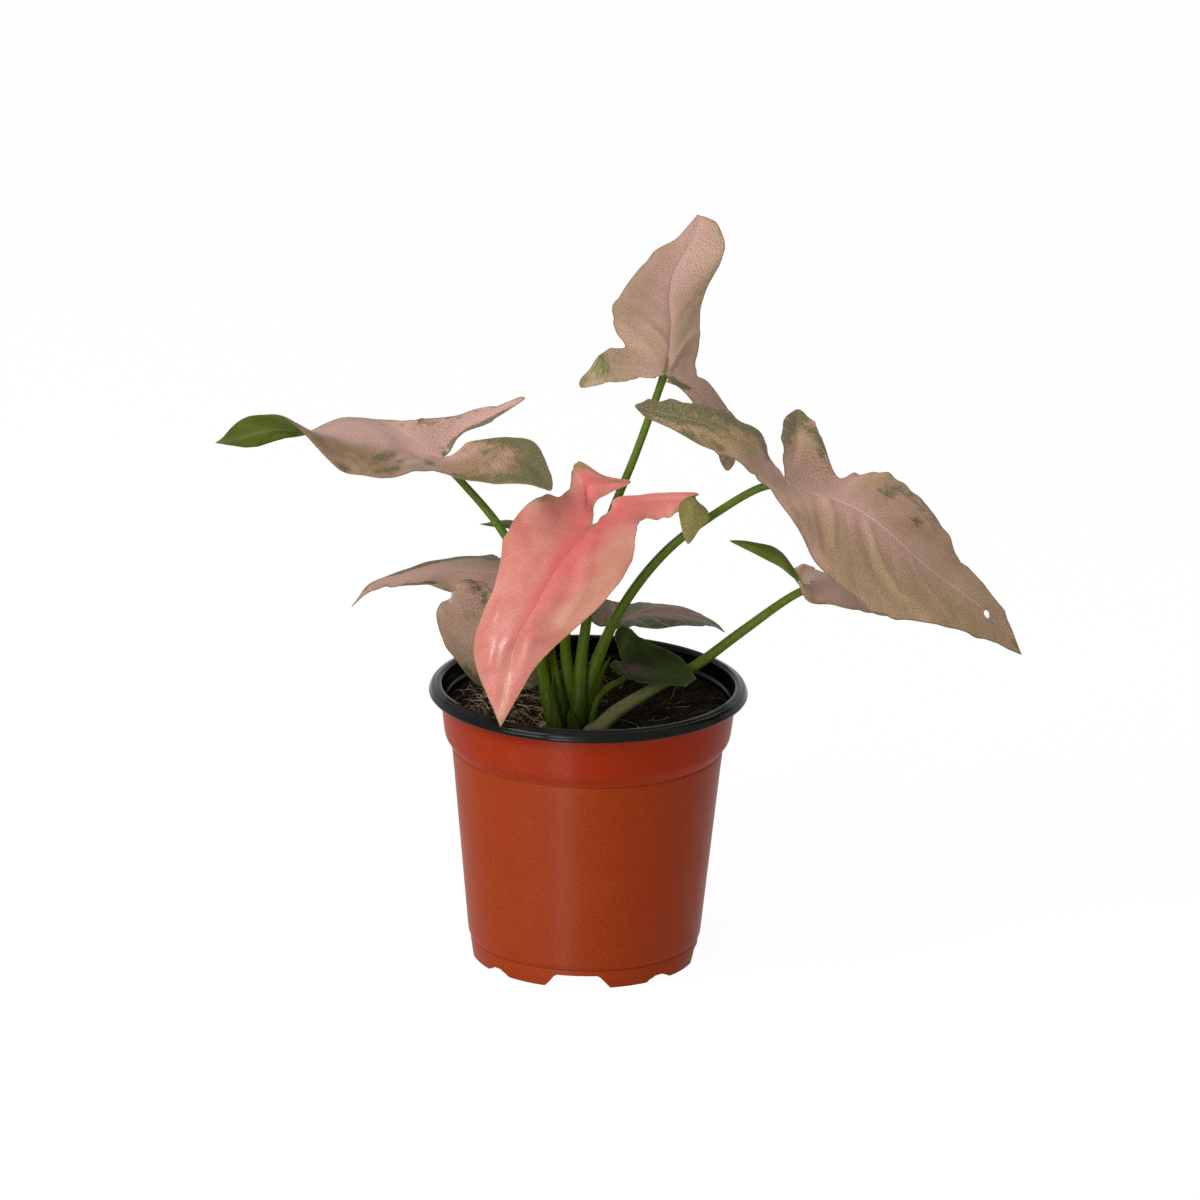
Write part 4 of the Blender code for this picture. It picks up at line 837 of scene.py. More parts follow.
NICKS = {
    "top_leaf": [(-25.5, -19, 3, -1.5), (-22.5, -11, 3.5, -1.4), (-15.5, -1.5, 1.6, -1.8), (-18, 6, 4, -0.9),
        (-20.5, 26, 4, -1), (-9.5, 52, 3.5, -2.3), (-20, -6, 0.8, 0.5), (-4, -8, 1.5, -0.9),
        (-6, -12, 1, 0.7), (-12.5, -18, 1.5, 0.8), (-9, -15.5, 0.7, -0.5), (-21, 19, 2, 0.5),
        (15.5, -4.5, 2.2, 2.3), (2.6, -8, 2.4, -2.6), (20, -16, 2, -1.4)],
    "left_leaf": [(-19.5, -31, 4.5, -2), (-24, -33, 3, -1.4), (-22, -33.5, 0.7, 0.8), (-5, -13.5, 2, -0.9),
        (-20.5, -12, 4.5, -1.8), (-19, 5, 4, -1), (-23, 38, 6.5, 1.8), (-17.5, -1.5, 1.5, 0.5),
        (19.5, 37, 7, -2.2), (15, 3, 1.5, -0.7), (17, -10, 5, -1.1), (20.3, -17.5, 1.2, 0.9),
        (20, -23.5, 1.6, -1), (12, -23, 1.2, 1.3), (9, -17, 0.8, 0.5), (6.5, 76, 2.5, 0.6)],
    "front_leaf": [(-5, -5, 4, -2), (-12.5, -12.5, 2, -0.7), (-19, -17, 2.5, 1), (-31, -12, 5, -2),
        (-19.5, -2.5, 2.5, 2), (-14.5, 1.5, 1.5, -0.8), (-43, -22.5, 2.5, -2), (-39.5, -18.5, 3, -1.2),
        (-31.3, -25.2, 1.8, 1), (14, -1.8, 1.3, 1.2), (13.9, -4.2, 1.3, -0.8), (15.5, -8.9, 1.2, 0.5),
        (16.9, -11.8, 2, 0.9), (18.5, -16.4, 2.2, -2), (18.6, -21, 2.2, -1), (15.5, -25, 2.5, -1.6),
        (17.5, 5, 3, -1.4), (21, 27, 2, -1.2)],
    "right_leaf": [(-10, -19.5, 4, -1.3), (-21, -27, 4, -1.1), (-27, -18.5, 2.5, -1), (-20, 7, 3.5, -3.2),
        (-23, 17, 5, -2.2), (-24, 26, 3, -0.8), (-23.3, 41, 3, 1.5), (-18, 64, 5, -1.7), (-14, 75, 1.5, 0.8),
        (-10, 84, 3, -0.7), (-6, 92.5, 1.5, -1), (12, 87.5, 3, -1), (25, 61, 4, -1.6), (28.5, 53, 4, -2.4),
        (24.5, 4, 4, -1.4), (19.5, -11, 2.5, 1.8), (21, -30, 1.2, -1.2), (20, -55, 1.5, -1.8),
        (16.5, -51.5, 2, -1.9), (8, -37.5, 2.5, -2), (2.5, -17.5, 2, -0.8), (24, -53, 2, -0.9)],
    "lower_right_leaf": [(-11, -3, 3, -1.5), (6, 45.5, 1.5, 0.7), (13, 31, 1.5, 1), (15, 25, 1.5, 1.2),
        (14.5, 20, 1.5, -0.5), (17.5, -21, 2, -1)],
    "lower_left_leaf": [(-13.5, 27, 4, -1.8), (-6.5, 49, 2, 2), (13.5, 10, 3, -1.6), (12, 5, 2, -1)],
    "drooping_leaf": [(15, 26, 3, -0.6), (19, 6, 2.5, -0.8), (14, -10, 1.2, 0.7), (9, -7, 1, -0.6),
        (-6, -4, 1.2, 0.6)],
    "back_leaf": [(-12, 9, 2, 0.5), (-12, 14, 1, 0.8), (-7, 29, 1.2, -0.7), (-2, 39.5, 2, -1),
        (6.5, 31.5, 1, 0.6), (12, 8, 2, -0.5)],
}
HOLES = {"right_leaf": [(0.3, 88.8, 1.7, 1.15)]}
QUILT = {"front_leaf": 0.3, "right_leaf": 0.2, "back_leaf": 0.6}  # the height of the swellings, mm
ROSE_RIB = {"right_leaf": 0.25, "front_leaf": 0.5, "back_leaf": 0.35, "small_leaf": 0.1, "top_leaf": 0.2}
print("ridges:", sum(len(rows) for rows in RIDGES.values()),
      "nicks:", sum(len(rows) for rows in NICKS.values()))

# %% [markdown]
# ## Building a blade
# The flat outline is cut into small even triangles, with the ribs as edges of the net so that they
# stay crisp. Every point is then lifted by the leaf's relief: a groove on the rib, a shallow pillow
# between each two side veins and a ripple along the margin. Upper and lower skins lie close together
# and a rim joins them. The sheet is a little thicker than a real leaf, so that its edge still shows.

# %% The uneven outline
STEP = 1.15       # mm between the points of the net
THICKNESS = 0.42
BARE_ENDS = (1.0, 5.0)   # mm from the tip and from the stalk, where the margin stays even


def cut_outline(name, leaf, seed):
    """The outline with the small unevenness of a real margin and the leaf's own nicks."""
    outline = flat_outline(leaf, STEP)
    way = np.roll(outline, -1, axis=0) - np.roll(outline, 1, axis=0)
    inward = np.column_stack([way[:, 1], -way[:, 0]])
    inward /= np.maximum(np.linalg.norm(inward, axis=1), 1e-9)[:, None]
    keep = soft_step(np.linalg.norm(outline - [0.0, leaf["length"]], axis=1), *BARE_ENDS)
    keep *= soft_step(np.linalg.norm(outline, axis=1), *BARE_ENDS)
    wave = 0.22 * wavy(outline, 5.0, seed) + 0.12 * wavy(outline, 1.7, seed + 3.0)
    for x, y, size, depth in NICKS.get(name, []):
        wave += depth * stroke(outline, [(x, y)], size)
    return outline + inward * (wave * keep)[:, None]


print(f"outlines: a point every {STEP} mm")

# %% The net
EDGE_CLEAR, RIB_CLEAR = 0.5 * STEP, 0.4 * STEP   # loose points keep this far from the drawn lines
HOLE_CLEAR = 0.4  # the same at a hole, as a share of its half axes
HOLE_SIDES = 14


def from_hole(x, y, hole):
    """How far a place is from the middle of a hole, in units of its half axes: 1 on its edge."""
    return np.hypot((x - hole[0]) / hole[2], (y - hole[1]) / hole[3])


def net(name, leaf, seed):
    """Flat points and triangles of the blade."""
    outline = cut_outline(name, leaf, seed)
    count = len(outline)
    points = list(outline)
    edges, rib_ends = [], []
    for end, *_ in rib_lines(leaf):
        tip = int(np.argmin(np.linalg.norm(outline - end, axis=1)))
        steps = max(2, round(float(np.linalg.norm(outline[tip])) / STEP))
        inner = [outline[0] + (outline[tip] - outline[0]) * k / steps for k in range(1, steps)]
        row = [0] + list(range(len(points), len(points) + len(inner))) + [tip]
        points += inner
        edges += list(zip(row, row[1:]))
        rib_ends.append(outline[tip])
    holes = HOLES.get(name, [])
    for x, y, rx, ry in holes:
        row = list(range(len(points), len(points) + HOLE_SIDES))
        turns = [math.tau * k / HOLE_SIDES for k in range(HOLE_SIDES)]
        points += [np.array((x + rx * math.cos(a), y + ry * math.sin(a))) for a in turns]
        edges += list(zip(row, row[1:] + row[:1]))
    low, high = outline.min(axis=0), outline.max(axis=0)
    tall = STEP * math.sqrt(3) / 2
    rows, columns = int((high[1] - low[1]) / tall) + 1, int((high[0] - low[0]) / STEP) + 2
    grid = np.array([(low[0] + (c + 0.5 * (r % 2)) * STEP, low[1] + r * tall)
                     for r in range(rows) for c in range(columns)])
    grid = grid[is_inside(grid, outline)]
    grid = grid[distance_to_lines(grid, outline, np.roll(outline, -1, axis=0)) > EDGE_CLEAR]
    grid = grid[distance_to_lines(grid, outline[[0] * len(rib_ends)], np.array(rib_ends)) > RIB_CLEAR]
    for hole in holes:
        grid = grid[np.abs(from_hole(*grid.T, hole) - 1.0) > HOLE_CLEAR]
    points = [Vector(p) for p in points] + [Vector(p) for p in grid]
    flat, _, faces, *_ = delaunay_2d_cdt(points, edges, [list(range(count))], 1, 1e-4)
    flat = np.array([tuple(p) for p in flat])
    kept = []
    for face in faces:
        a, b, c = (flat[i] for i in face)
        if any(from_hole(*(a + b + c) / 3, hole) < 1.0 for hole in holes):
            continue
        turn = (b[0] - a[0]) * (c[1] - a[1]) - (b[1] - a[1]) * (c[0] - a[0])
        kept.append(tuple(face) if turn > 0 else tuple(face[::-1]))
    return flat, kept, outline


print("holes:", HOLES)

# %% [markdown]
# ## Relief and paint
# Both are worked out on the flat leaf, point by point. A larger leaf gets a deeper relief, because its
# groove, swellings and ripple grow with it.

# %% Relief and paint
USUAL_LENGTH = 80.0
GROOVE, SWELL = 0.4, 0.5                 # mm, on a leaf of the usual length
GROOVE_WIDTH = 1.3
KEEL_DEPTH, KEEL_WIDTH = 0.75, 0.8
BLUSH_WIDTH = 5.0                        # how far the rose reaches from a rib
EDGE_THINNESS = 0.45                     # the share of its thickness that a blade has at its edge
TINT_KINDS = ("rose", "green", "pale", "shine")


def relief(name, leaf, flat, edge, off, veins, seed):
    """How far each point stands off the smooth leaf, mm."""
    pillow = np.abs(np.sin(math.pi * (veins[:, 1] / leaf["spacing"] - 0.5))) ** 0.8
    pillow *= soft_step(off, 0.0, 6.0) * soft_step(edge, 0.0, 5.0) * veins[:, 2]
    pillow *= 0.6 + 0.4 * wavy(flat, 14.0, seed + 17.0)
    groove = np.exp(-(off / GROOVE_WIDTH) ** 2) * soft_step(edge, 0.0, 4.0)
    ripple = wavy(flat, 9.0, seed + 7.0) * (1.0 - soft_step(edge, 0.0, 7.0))
    swell = wavy(flat, 22.0, seed + 11.0)
    height = QUILT.get(name, 0.3) * pillow - GROOVE * groove + ripple + SWELL * swell
    height *= leaf["length"] / USUAL_LENGTH
    for width, lift, line in RIDGES.get(name, []):
        height += lift * stroke(flat, line, width)
    return height


def paint(name, flat, off):
    """The four tints of each point: rose along the rib, then the leaf's own dabs."""
    tints = np.zeros((len(flat), len(TINT_KINDS)))
    tints[:, 0] = np.exp(-(off / BLUSH_WIDTH) ** 2) * ROSE_RIB.get(name, 0.45)
    for column, kind in enumerate(TINT_KINDS):
        for size, strength, line in TINTS.get(name, {}).get(kind, []):
            tints[:, column] += strength * stroke(flat, line, size)
    return np.clip(tints, 0.0, 1.2)


print("tints on each point:", ", ".join(TINT_KINDS))


# %% Both skins of a blade
def blade(name, leaf, slot, upper, lower, seed):
    """The whole blade; underneath, a keel follows each rib and thins towards its tip."""
    place = bend(leaf)
    flat, faces, outline = net(name, leaf, seed)
    edge = distance_to_lines(flat, outline, np.roll(outline, -1, axis=0))
    off, veins = vein_numbers(leaf, flat, seed)
    facing = upper_normals(place, flat)
    middle = place(flat) + facing * relief(name, leaf, flat, edge, off, veins, seed)[:, None]
    half = THICKNESS / 2 * (EDGE_THINNESS + (1.0 - EDGE_THINNESS) * soft_step(edge, 0.0, 2.0))
    taper = np.clip(1.0 - veins[:, 1] / leaf["length"], 0.15, 1.0) * soft_step(edge, 0.0, 2.5)
    keel = KEEL_DEPTH * np.exp(-(off / KEEL_WIDTH) ** 2) * taper * leaf["length"] / USUAL_LENGTH
    skins = np.vstack([middle + facing * half[:, None], middle - facing * (half + keel)[:, None]])
    n = len(flat)
    uses = dict.fromkeys((a, b) for face in faces for a, b in zip(face, face[1:] + face[:1]))
    rims = [(b, a, n + a, n + b) for a, b in uses if (b, a) not in uses]
    all_faces = faces + [tuple(n + i for i in face[::-1]) for face in faces] + rims
    kinds = [0] * len(faces) + [1] * len(faces) + [0] * len(rims)
    made = piece(name + "_blade_skin", skins, all_faces, slot, [upper, lower], name + "_blade", kinds, 60.0)
    tints = paint(name, flat, off)
    for layer, rows in (("flat", np.column_stack([flat, edge])), ("veins", veins), ("paint", tints[:, :3]),
                        ("shine", np.repeat(tints[:, 3:], 3, axis=1))):
        give_vectors(made, layer, np.tile(rows, (2, 1)))
    print(f"{name}: {len(faces)} triangles a side, {flat[:, 1].max():.0f} mm long")


# %% [markdown]
# ## A finish for every leaf
# The older blades are rose-brown with green mottling, the newest one is salmon pink, and the ones low in the
# pot are nearly all green; the smallest one's near-black colours are painted shade, where it sits low in the
# pot. One finish for all would be simpler, but the plant would look cut from one sheet. So each leaf has a
# few colours of its own, and the dabs put them in their places.

# %% Leaf colours
ROSE_BROWN = dict(dark=(0.4, 0.265, 0.17), light=(0.56, 0.37, 0.26), rose=(0.6, 0.35, 0.285),
    green=(0.115, 0.115, 0.048), rib=(0.68, 0.42, 0.37), vein=(0.64, 0.42, 0.35), rim=(0.24, 0.18, 0.085),
    pale=(0.42, 0.31, 0.155))
FINISH = {
    "top_leaf": dict(ROSE_BROWN, dark=(0.47, 0.305, 0.2), light=(0.58, 0.375, 0.27), rib=(0.38, 0.17, 0.14),
        rose=(0.6, 0.355, 0.3), pale=(0.37, 0.275, 0.13), green=(0.105, 0.145, 0.028), flecks=0.1),
    "left_leaf": dict(ROSE_BROWN, dark=(0.48, 0.3, 0.21), light=(0.65, 0.41, 0.315), rose=(0.7, 0.41, 0.35),
        pale=(0.27, 0.165, 0.078), flecks=0.5),
    "front_leaf": dict(dark=(0.6, 0.18, 0.135), light=(0.68, 0.27, 0.215), rose=(0.7, 0.16, 0.15),
        green=(0.27, 0.22, 0.085), rib=(0.66, 0.13, 0.13), vein=(0.78, 0.34, 0.3), rim=(0.42, 0.24, 0.12),
        pale=(0.66, 0.36, 0.22), flecks=0.15, reach=3, lines=0.14, roughness=0.42, gloss=0.16, speckle=0.2,
        shiny=True),
    "right_leaf": dict(ROSE_BROWN, dark=(0.52, 0.32, 0.205), light=(0.67, 0.41, 0.295),
        rose=(0.71, 0.41, 0.34), pale=(0.46, 0.315, 0.155), rib=(0.8, 0.54, 0.49), rib_width=0.7,
        rib_line=0.95, vein=(0.74, 0.5, 0.44), lines=0.14, green=(0.145, 0.145, 0.062), flecks=0.3),
    "lower_right_leaf": dict(ROSE_BROWN, dark=(0.47, 0.3, 0.205), light=(0.64, 0.41, 0.3),
        rose=(0.68, 0.39, 0.32), flecks=0.1),
    "lower_left_leaf": dict(ROSE_BROWN, light=(0.54, 0.33, 0.25), green=(0.07, 0.075, 0.03), flecks=0.5,
        gloss=0.08),
    "drooping_leaf": dict(ROSE_BROWN, dark=(0.44, 0.285, 0.185), light=(0.6, 0.395, 0.28), flecks=0.25),
    "back_leaf": dict(dark=(0.088, 0.11, 0.05), light=(0.165, 0.165, 0.092), rose=(0.34, 0.2, 0.15),
        green=(0.045, 0.07, 0.025), rib=(0.48, 0.28, 0.22), vein=(0.44, 0.24, 0.18), rim=(0.06, 0.08, 0.025),
        flecks=0.4, lines=0.85, spacing=7, gloss=0.12),
    # the smallest leaf's near-black colours are painted shade: it sits low in the pot, and its own green is
    # lighter
    "small_leaf": dict(dark=(0.008, 0.016, 0.001), light=(0.032, 0.055, 0.006), rose=(0.13, 0.095, 0.07),
        green=(0.012, 0.024, 0.002), rib=(0.07, 0.06, 0.03), vein=(0.05, 0.06, 0.015),
        rim=(0.08, 0.12, 0.02), pale=(0.05, 0.085, 0.012), flecks=0.2, spacing=6, gloss=0.08, speckle=0.7,
        lines=0.3),
    "young_leaf": dict(dark=(0.07, 0.1, 0.02), light=(0.14, 0.18, 0.04), rose=(0.16, 0.15, 0.06),
        green=(0.08, 0.12, 0.02), rib=(0.25, 0.28, 0.12), vein=(0.2, 0.2, 0.08), rim=(0.08, 0.1, 0.03),
        spacing=6),
}
UNDER_GREEN = dict(dark=(0.1, 0.13, 0.014), light=(0.18, 0.205, 0.034), rib=(0.26, 0.29, 0.09))
UNDER = {
    "left_leaf": dict(dark=(0.055, 0.085, 0.003), light=(0.1, 0.13, 0.012), rib=(0.22, 0.24, 0.08)),
    "front_leaf": dict(dark=(0.27, 0.25, 0.07), light=(0.37, 0.32, 0.11), rib=(0.4, 0.38, 0.15)),
    # painted shade too: the smallest leaf's underside lies low in the pot's shade
    "small_leaf": dict(dark=(0.015, 0.025, 0.004), light=(0.03, 0.05, 0.01), rib=(0.08, 0.1, 0.03)),
}
SLOTS = {"front_leaf": "leaf_salmon_pink", "back_leaf": "leaf_dark_green",
         "small_leaf": "leaf_dark_green", "young_leaf": "leaf_dark_green"}
print("finishes:", ", ".join(FINISH))

# %% Make the blades
for number, (name, leaf) in enumerate(LEAVES.items()):
    look = FINISH[name]
    leaf["spacing"] = look.get("spacing", VEIN_SPACING)
    upper = upper_face(name + "_upper", **look)
    under = underside(name + "_under", **UNDER.get(name, UNDER_GREEN), spacing=leaf["spacing"])
    blade(name, leaf, SLOTS.get(name, "leaf_rose_brown"), upper, under, 10.0 * number + 1.7)

# %% [markdown]
# ## Stalks
# A stalk is a smooth tapering tube, a little flattened, with a shallow channel on its upper side and a
# swelling where it meets the blade. Low down it is broader, where its sheath wraps the next stalk, and its
# colour darkens towards the crown as painted shade.

# %% Stalk material
CROWN_SHADE = (0.03, 0.028, 0.004)       # painted shade on the last centimetre over the crown
SHEATH_EDGE = (0.20, 0.26, 0.05)


def stalk_material(name, foot, low, high, turns_at):
    """Green with fine lengthwise streaks: from the foot up, then along the stalk; sheaths end in a pale edge.
    The darker foot and the last centimetre over the crown are painted shade. The two shares in turns_at say
    where the low colour gives way to the high one."""
    mat, tree, shader = new_material(name)
    along, share, around = parts_of(tree, stored(tree, "stalk", "Vector"))
    where = put_all(tree, node(tree, "ShaderNodeCombineXYZ"),
                    times(tree, around, 2.2), times(tree, along, 0.03))
    streaks = cloud(tree, where, 2.2, 4.0)
    grain = cloud(tree, place_on_object(tree), 1800.0, 3.0, 0.6)
    # the darker foot colour and the colour of the last centimetre are painted shade, not the stalk's own
    # green
    body = layered(tree, mix(tree, fade(tree, along, 3.0, 34.0), foot, low), [
        (fade(tree, share, *turns_at), high),
        (fade(tree, streaks, 0.45, 0.75, 0.0, 0.4), tuple(1.6 * c for c in high)),
        (fade(tree, along, 10.0, 0.0, 0.0, 0.5), CROWN_SHADE),
        (fade(tree, stored(tree, "sheath", "Fac"), 0.75, 1.0, 0.0, 0.5), SHEATH_EDGE)])
    finish(tree, shader, grainy(tree, body, grain, 0.3), bump(tree, streaks, 0.25, 0.2 * MM),
           Roughness=0.45, Specular_IOR_Level=0.06)
    return mat


stalk_green = stalk_material("stalk_green", (0.028, 0.045, 0.001), (0.085, 0.135, 0.006),
                             (0.11, 0.165, 0.018), (0.35, 0.8))
stalk_tan = stalk_material("stalk_tan", (0.17, 0.155, 0.08), (0.20, 0.21, 0.085),
                           (0.115, 0.17, 0.018), (0.25, 0.5))
print("materials:", stalk_green.name, stalk_tan.name)

# %% [markdown]
# ## A tube along a route
# Two cross directions are carried along the route without twisting, and each ring of the tube is drawn
# in them. A curve with a round bevel would be shorter to write, but it can't be given the channel on
# the upper side. Here a table of factors, one for each point, gives the channel and a slight waviness.

# %% Tubes
AROUND = 18


def frames_along(path):
    """Two steady cross directions along a path."""
    way = np.gradient(path, axis=0)
    way /= np.linalg.norm(way, axis=1)[:, None]
    side = np.cross(way[0], [0.0, 1.0, 0.0])
    sides = []
    for t in way:
        side = side - t * np.dot(side, t)
        side = side / np.linalg.norm(side)
        sides.append(side)
    return np.array(sides), np.cross(way, sides)


def tube(path, radii, around, shape=1.0):
    """Vertices and faces of a closed tube; shape scales the radius round the section."""
    side, up = frames_along(path)
    angle = np.linspace(0.0, math.tau, around, endpoint=False)[None, :, None]
    reach = (radii[:, None] * (shape * np.ones((len(path), around))))[..., None]
    verts = path[:, None] + (np.cos(angle) * side[:, None] + np.sin(angle) * up[:, None]) * reach
    last = (len(path) - 1) * around
    faces = [(i + j, i + (j + 1) % around, i + around + (j + 1) % around, i + around + j)
             for i in range(0, last, around) for j in range(around)]
    faces += [tuple(range(around))[::-1], tuple(range(last, last + around))]
    return verts.reshape(-1, 3), faces


print("sides of a stalk's tube:", AROUND)

# %% Stalks
JUNCTION_SWELL, JUNCTION_REACH = 0.15, 3.0    # as a share of the radius, and mm down from the blade
USUAL_SHEATH_SWELL, SHEATH_REACH = 0.6, 26.0  # the same at the foot, mm up from the crown
SHEATH_SWELL = {"small_leaf": 0.0, "lower_right_leaf": 0.3}
CHANNEL_DEPTH, CHANNEL_WIDTH = 0.12, 0.5      # as a share of the radius, and in radians
WAVE, WAVE_LENGTH = 0.03, 9.0                 # the slight waviness: a share of the radius, and mm
CROWN_TOP = (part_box("crown")[1].z - AXIS.z) / MM
STRAIGHT = 6.0                                # mm that a stalk rises straight up from the crown
ATTACHED_AT = (0.0, 1.5)                      # the place on the flat leaf where the stalk joins it
STALK_STEP = 1.6                              # mm between the rings of a stalk


def stalk_run(name, leaf):
    """A stalk's route, the length run along it and its radii."""
    place = bend(leaf)
    junction = place(ATTACHED_AT)[0]
    normal = upper_normals(place, ATTACHED_AT)[0]
    foot_r, top_r = leaf["radius"]
    foot = np.array([*leaf["stalk"][0], CROWN_TOP + 0.3])
    end = junction - normal * (THICKNESS + 0.5 * top_r)
    between = [np.array(p, dtype=float) for p in leaf["stalk"][1:]]
    path = smooth_path([foot, foot + [0.0, 0.0, STRAIGHT]] + between + [end], STALK_STEP)
    run = np.concatenate([[0.0], np.cumsum(np.linalg.norm(np.diff(path, axis=0), axis=1))])
    share = run / run[-1]
    radii = foot_r + (top_r - foot_r) * share ** 0.8
    radii *= 1.0 + JUNCTION_SWELL * np.exp(-((1.0 - share) * run[-1] / JUNCTION_REACH) ** 2)
    radii *= 1.0 + SHEATH_SWELL.get(name, USUAL_SHEATH_SWELL) * np.exp(-(run / SHEATH_REACH) ** 2)
    return path, run, radii


def stalk(name, leaf):
    """One stalk, with the length and the share run and the way round stored on its points."""
    path, run, radii = stalk_run(name, leaf)
    angle = np.linspace(0.0, math.tau, AROUND, endpoint=False)
    channel = 1.0 - CHANNEL_DEPTH * np.exp(-((angle - math.pi / 2) / CHANNEL_WIDTH) ** 2)
    wave = 1.0 + WAVE * np.sin(run / WAVE_LENGTH)
    verts, faces = tube(path, radii, AROUND, wave[:, None] * channel[None, :])
    colour = stalk_tan if name == "lower_right_leaf" else stalk_green
    made = piece(name + "_stalk", verts, faces, "stalk_green", [colour], name + "_petiole")
    give_vectors(made, "stalk", np.column_stack([
        np.repeat(run, AROUND), np.repeat(run / run[-1], AROUND), np.tile(np.cos(angle / 2), len(path))]))


for name, leaf in LEAVES.items():
    stalk(name, leaf)
print("stalks:", len(LEAVES))

# %% [markdown]
# ## Sheaths
# A sheath is the thin wing at the foot of a stalk. It hugs the stalk, narrows upwards and stands off
# it as a free pointed tip, with a paler edge. It is a small grid of points wrapped round the stalk,
# with a second grid inside it and a rim between the two.

# %% Where the sheaths are
# leaf, turned to (degrees from the front), from and to (mm along the stalk), half width (degrees), flare
SHEATHS = [("right_leaf", 65.0, 2.0, 32.0, 75.0, 1.6), ("left_leaf", 65.0, 2.0, 24.0, 80.0, 1.2),
           ("top_leaf", -40.0, 1.0, 13.0, 80.0, 0.8), ("front_leaf", 10.0, 1.0, 17.0, 70.0, 0.4),
           ("lower_left_leaf", 40.0, 1.0, 15.0, 80.0, 0.9), ("front_leaf", -70.0, 1.0, 20.0, 60.0, 0.7)]
SHEATH_THICKNESS = 0.3
SHEATH_GAP = 0.12         # mm between a sheath and its stalk
EDGE_LIFT = 0.35          # mm that the long edges of a sheath stand off, low down
SHEATH_ROWS, SHEATH_COLUMNS = 26, 13
print("sheaths:", len(SHEATHS))


# %% Sheaths
def plan(degrees, r):
    """A place in plan, by its angle from the front and its radius."""
    a = math.radians(degrees)
    return r * math.sin(a), -r * math.cos(a)


def grid_faces(rows, columns, inner):
    """Two grids of quads, the second from vertex inner on, and the rim that joins them."""
    faces = []
    for p in (i * columns + j for i in range(rows - 1) for j in range(columns - 1)):
        q = inner + p
        faces += [(p, p + 1, p + columns + 1, p + columns), (q, q + columns, q + columns + 1, q + 1)]
    bottom, top = rows - 1, columns - 1
    loop = (list(range(top)) + [i * columns + top for i in range(bottom)]
            + [bottom * columns + j for j in range(top, 0, -1)]
            + [i * columns for i in range(bottom, 0, -1)])
    return faces + [(q, p, inner + p, inner + q) for p, q in zip(loop, loop[1:] + loop[:1])]


def sheath(number, name, turned_to, low, high, half_width, flare):
    """One sheath: two grids round its stalk, the outer one first."""
    rows, columns = SHEATH_ROWS, SHEATH_COLUMNS
    path, run, radii = stalk_run(name, LEAVES[name])
    at = np.linspace(low, high, rows)
    centre = np.column_stack([np.interp(at, run, path[:, k]) for k in range(3)])
    radius = np.interp(at, run, radii)
    way = np.gradient(centre, axis=0)
    way /= np.linalg.norm(way, axis=1)[:, None]
    facing = np.array([*plan(turned_to, 1.0), 0.0])
    skins, marks = [], []
    for lift in (SHEATH_THICKNESS, 0.0):
        for i in range(rows):
            t = i / (rows - 1)
            out = facing - way[i] * np.dot(facing, way[i])
            out /= np.linalg.norm(out)
            across = np.cross(way[i], out)
            half = math.radians(half_width) * (1.0 - t ** 1.6) ** 0.8 + 0.03
            for u in np.linspace(-1.0, 1.0, columns):
                r = radius[i] + SHEATH_GAP + lift + flare * t ** 3 + EDGE_LIFT * abs(u) ** 3 * (1.0 - t)
                skins.append(centre[i] + r * (math.cos(u * half) * out + math.sin(u * half) * across))
                marks.append((abs(u), 0.0, 0.0))
    count = rows * columns
    made = piece(f"{name}_sheath_{number}", skins, grid_faces(rows, columns, count), "stalk_green",
                 [stalk_green], name + "_petiole", sharp=50.0)
    give_vectors(made, "sheath", marks)
    across = np.tile(np.linspace(-0.4, 0.4, columns), rows)
    marks = np.column_stack([np.repeat(at, columns), np.full(count, 0.1), across])
    give_vectors(made, "stalk", np.tile(marks, (2, 1)))


for number, row in enumerate(SHEATHS):
    sheath(number, *row)

# %% [markdown]
# ## The pot
# A nursery pot is pressed from a thin sheet that is terracotta on one side and black on the other, so
# it is modelled as two skins that lie against each other: a terracotta shell outside, and a black
# lining that turns over at the top into the rolled lip. Above the collar's crease the red is a little
# deeper. The mould was turned, and its fine rings stretch every highlight up and down the wall.

# %% Plastic finish
CREASE = (74.0 * MM, 76.5 * MM)  # the heights between which the collar's colour sets in

plastic_wear, taken, given = new_group(
    "plastic_wear", {"Where": Vector(), "Scuffs": 0.5}, {"Dust": 0.0, "Height": 0.0})
patches = cloud(plastic_wear, taken["Where"], 45.0, 4.0, 0.6)
put(plastic_wear, given["Dust"], times(plastic_wear, fade(plastic_wear, patches, 0.45, 0.8), taken["Scuffs"]))
put(plastic_wear, given["Height"], cloud(plastic_wear, taken["Where"], 900.0, 5.0, 0.7, 0.4))


def plastic(name, colour, above, dust, roughness, scuffs, gloss, stretch):
    """Moulded plastic: one colour on the wall, another above the collar's crease, dust and fine grain."""
    mat, tree, shader = new_material(name)
    where = place_on_object(tree)
    worn = use_group(tree, plastic_wear, Where=where, Scuffs=scuffs)
    body = mix(tree, fade(tree, parts_of(tree, where)[2], *CREASE), colour, above)
    body = mix(tree, worn["Dust"], body, dust)
    grain = cloud(tree, where, 2100.0, 3.0, 0.6)
    put(tree, shader.inputs["Roughness"], fade(tree, worn["Dust"], 0.0, 0.6, roughness, roughness + 0.2))
    put(tree, shader.inputs["Tangent"],
        node(tree, "ShaderNodeTangent", direction_type="RADIAL", axis="Z").outputs[0])
    finish(tree, shader, grainy(tree, body, grain, 0.22), bump(tree, worn["Height"], 0.12, 0.1 * MM),
           Specular_IOR_Level=gloss, Anisotropic=stretch, Anisotropic_Rotation=0.25)
    return mat


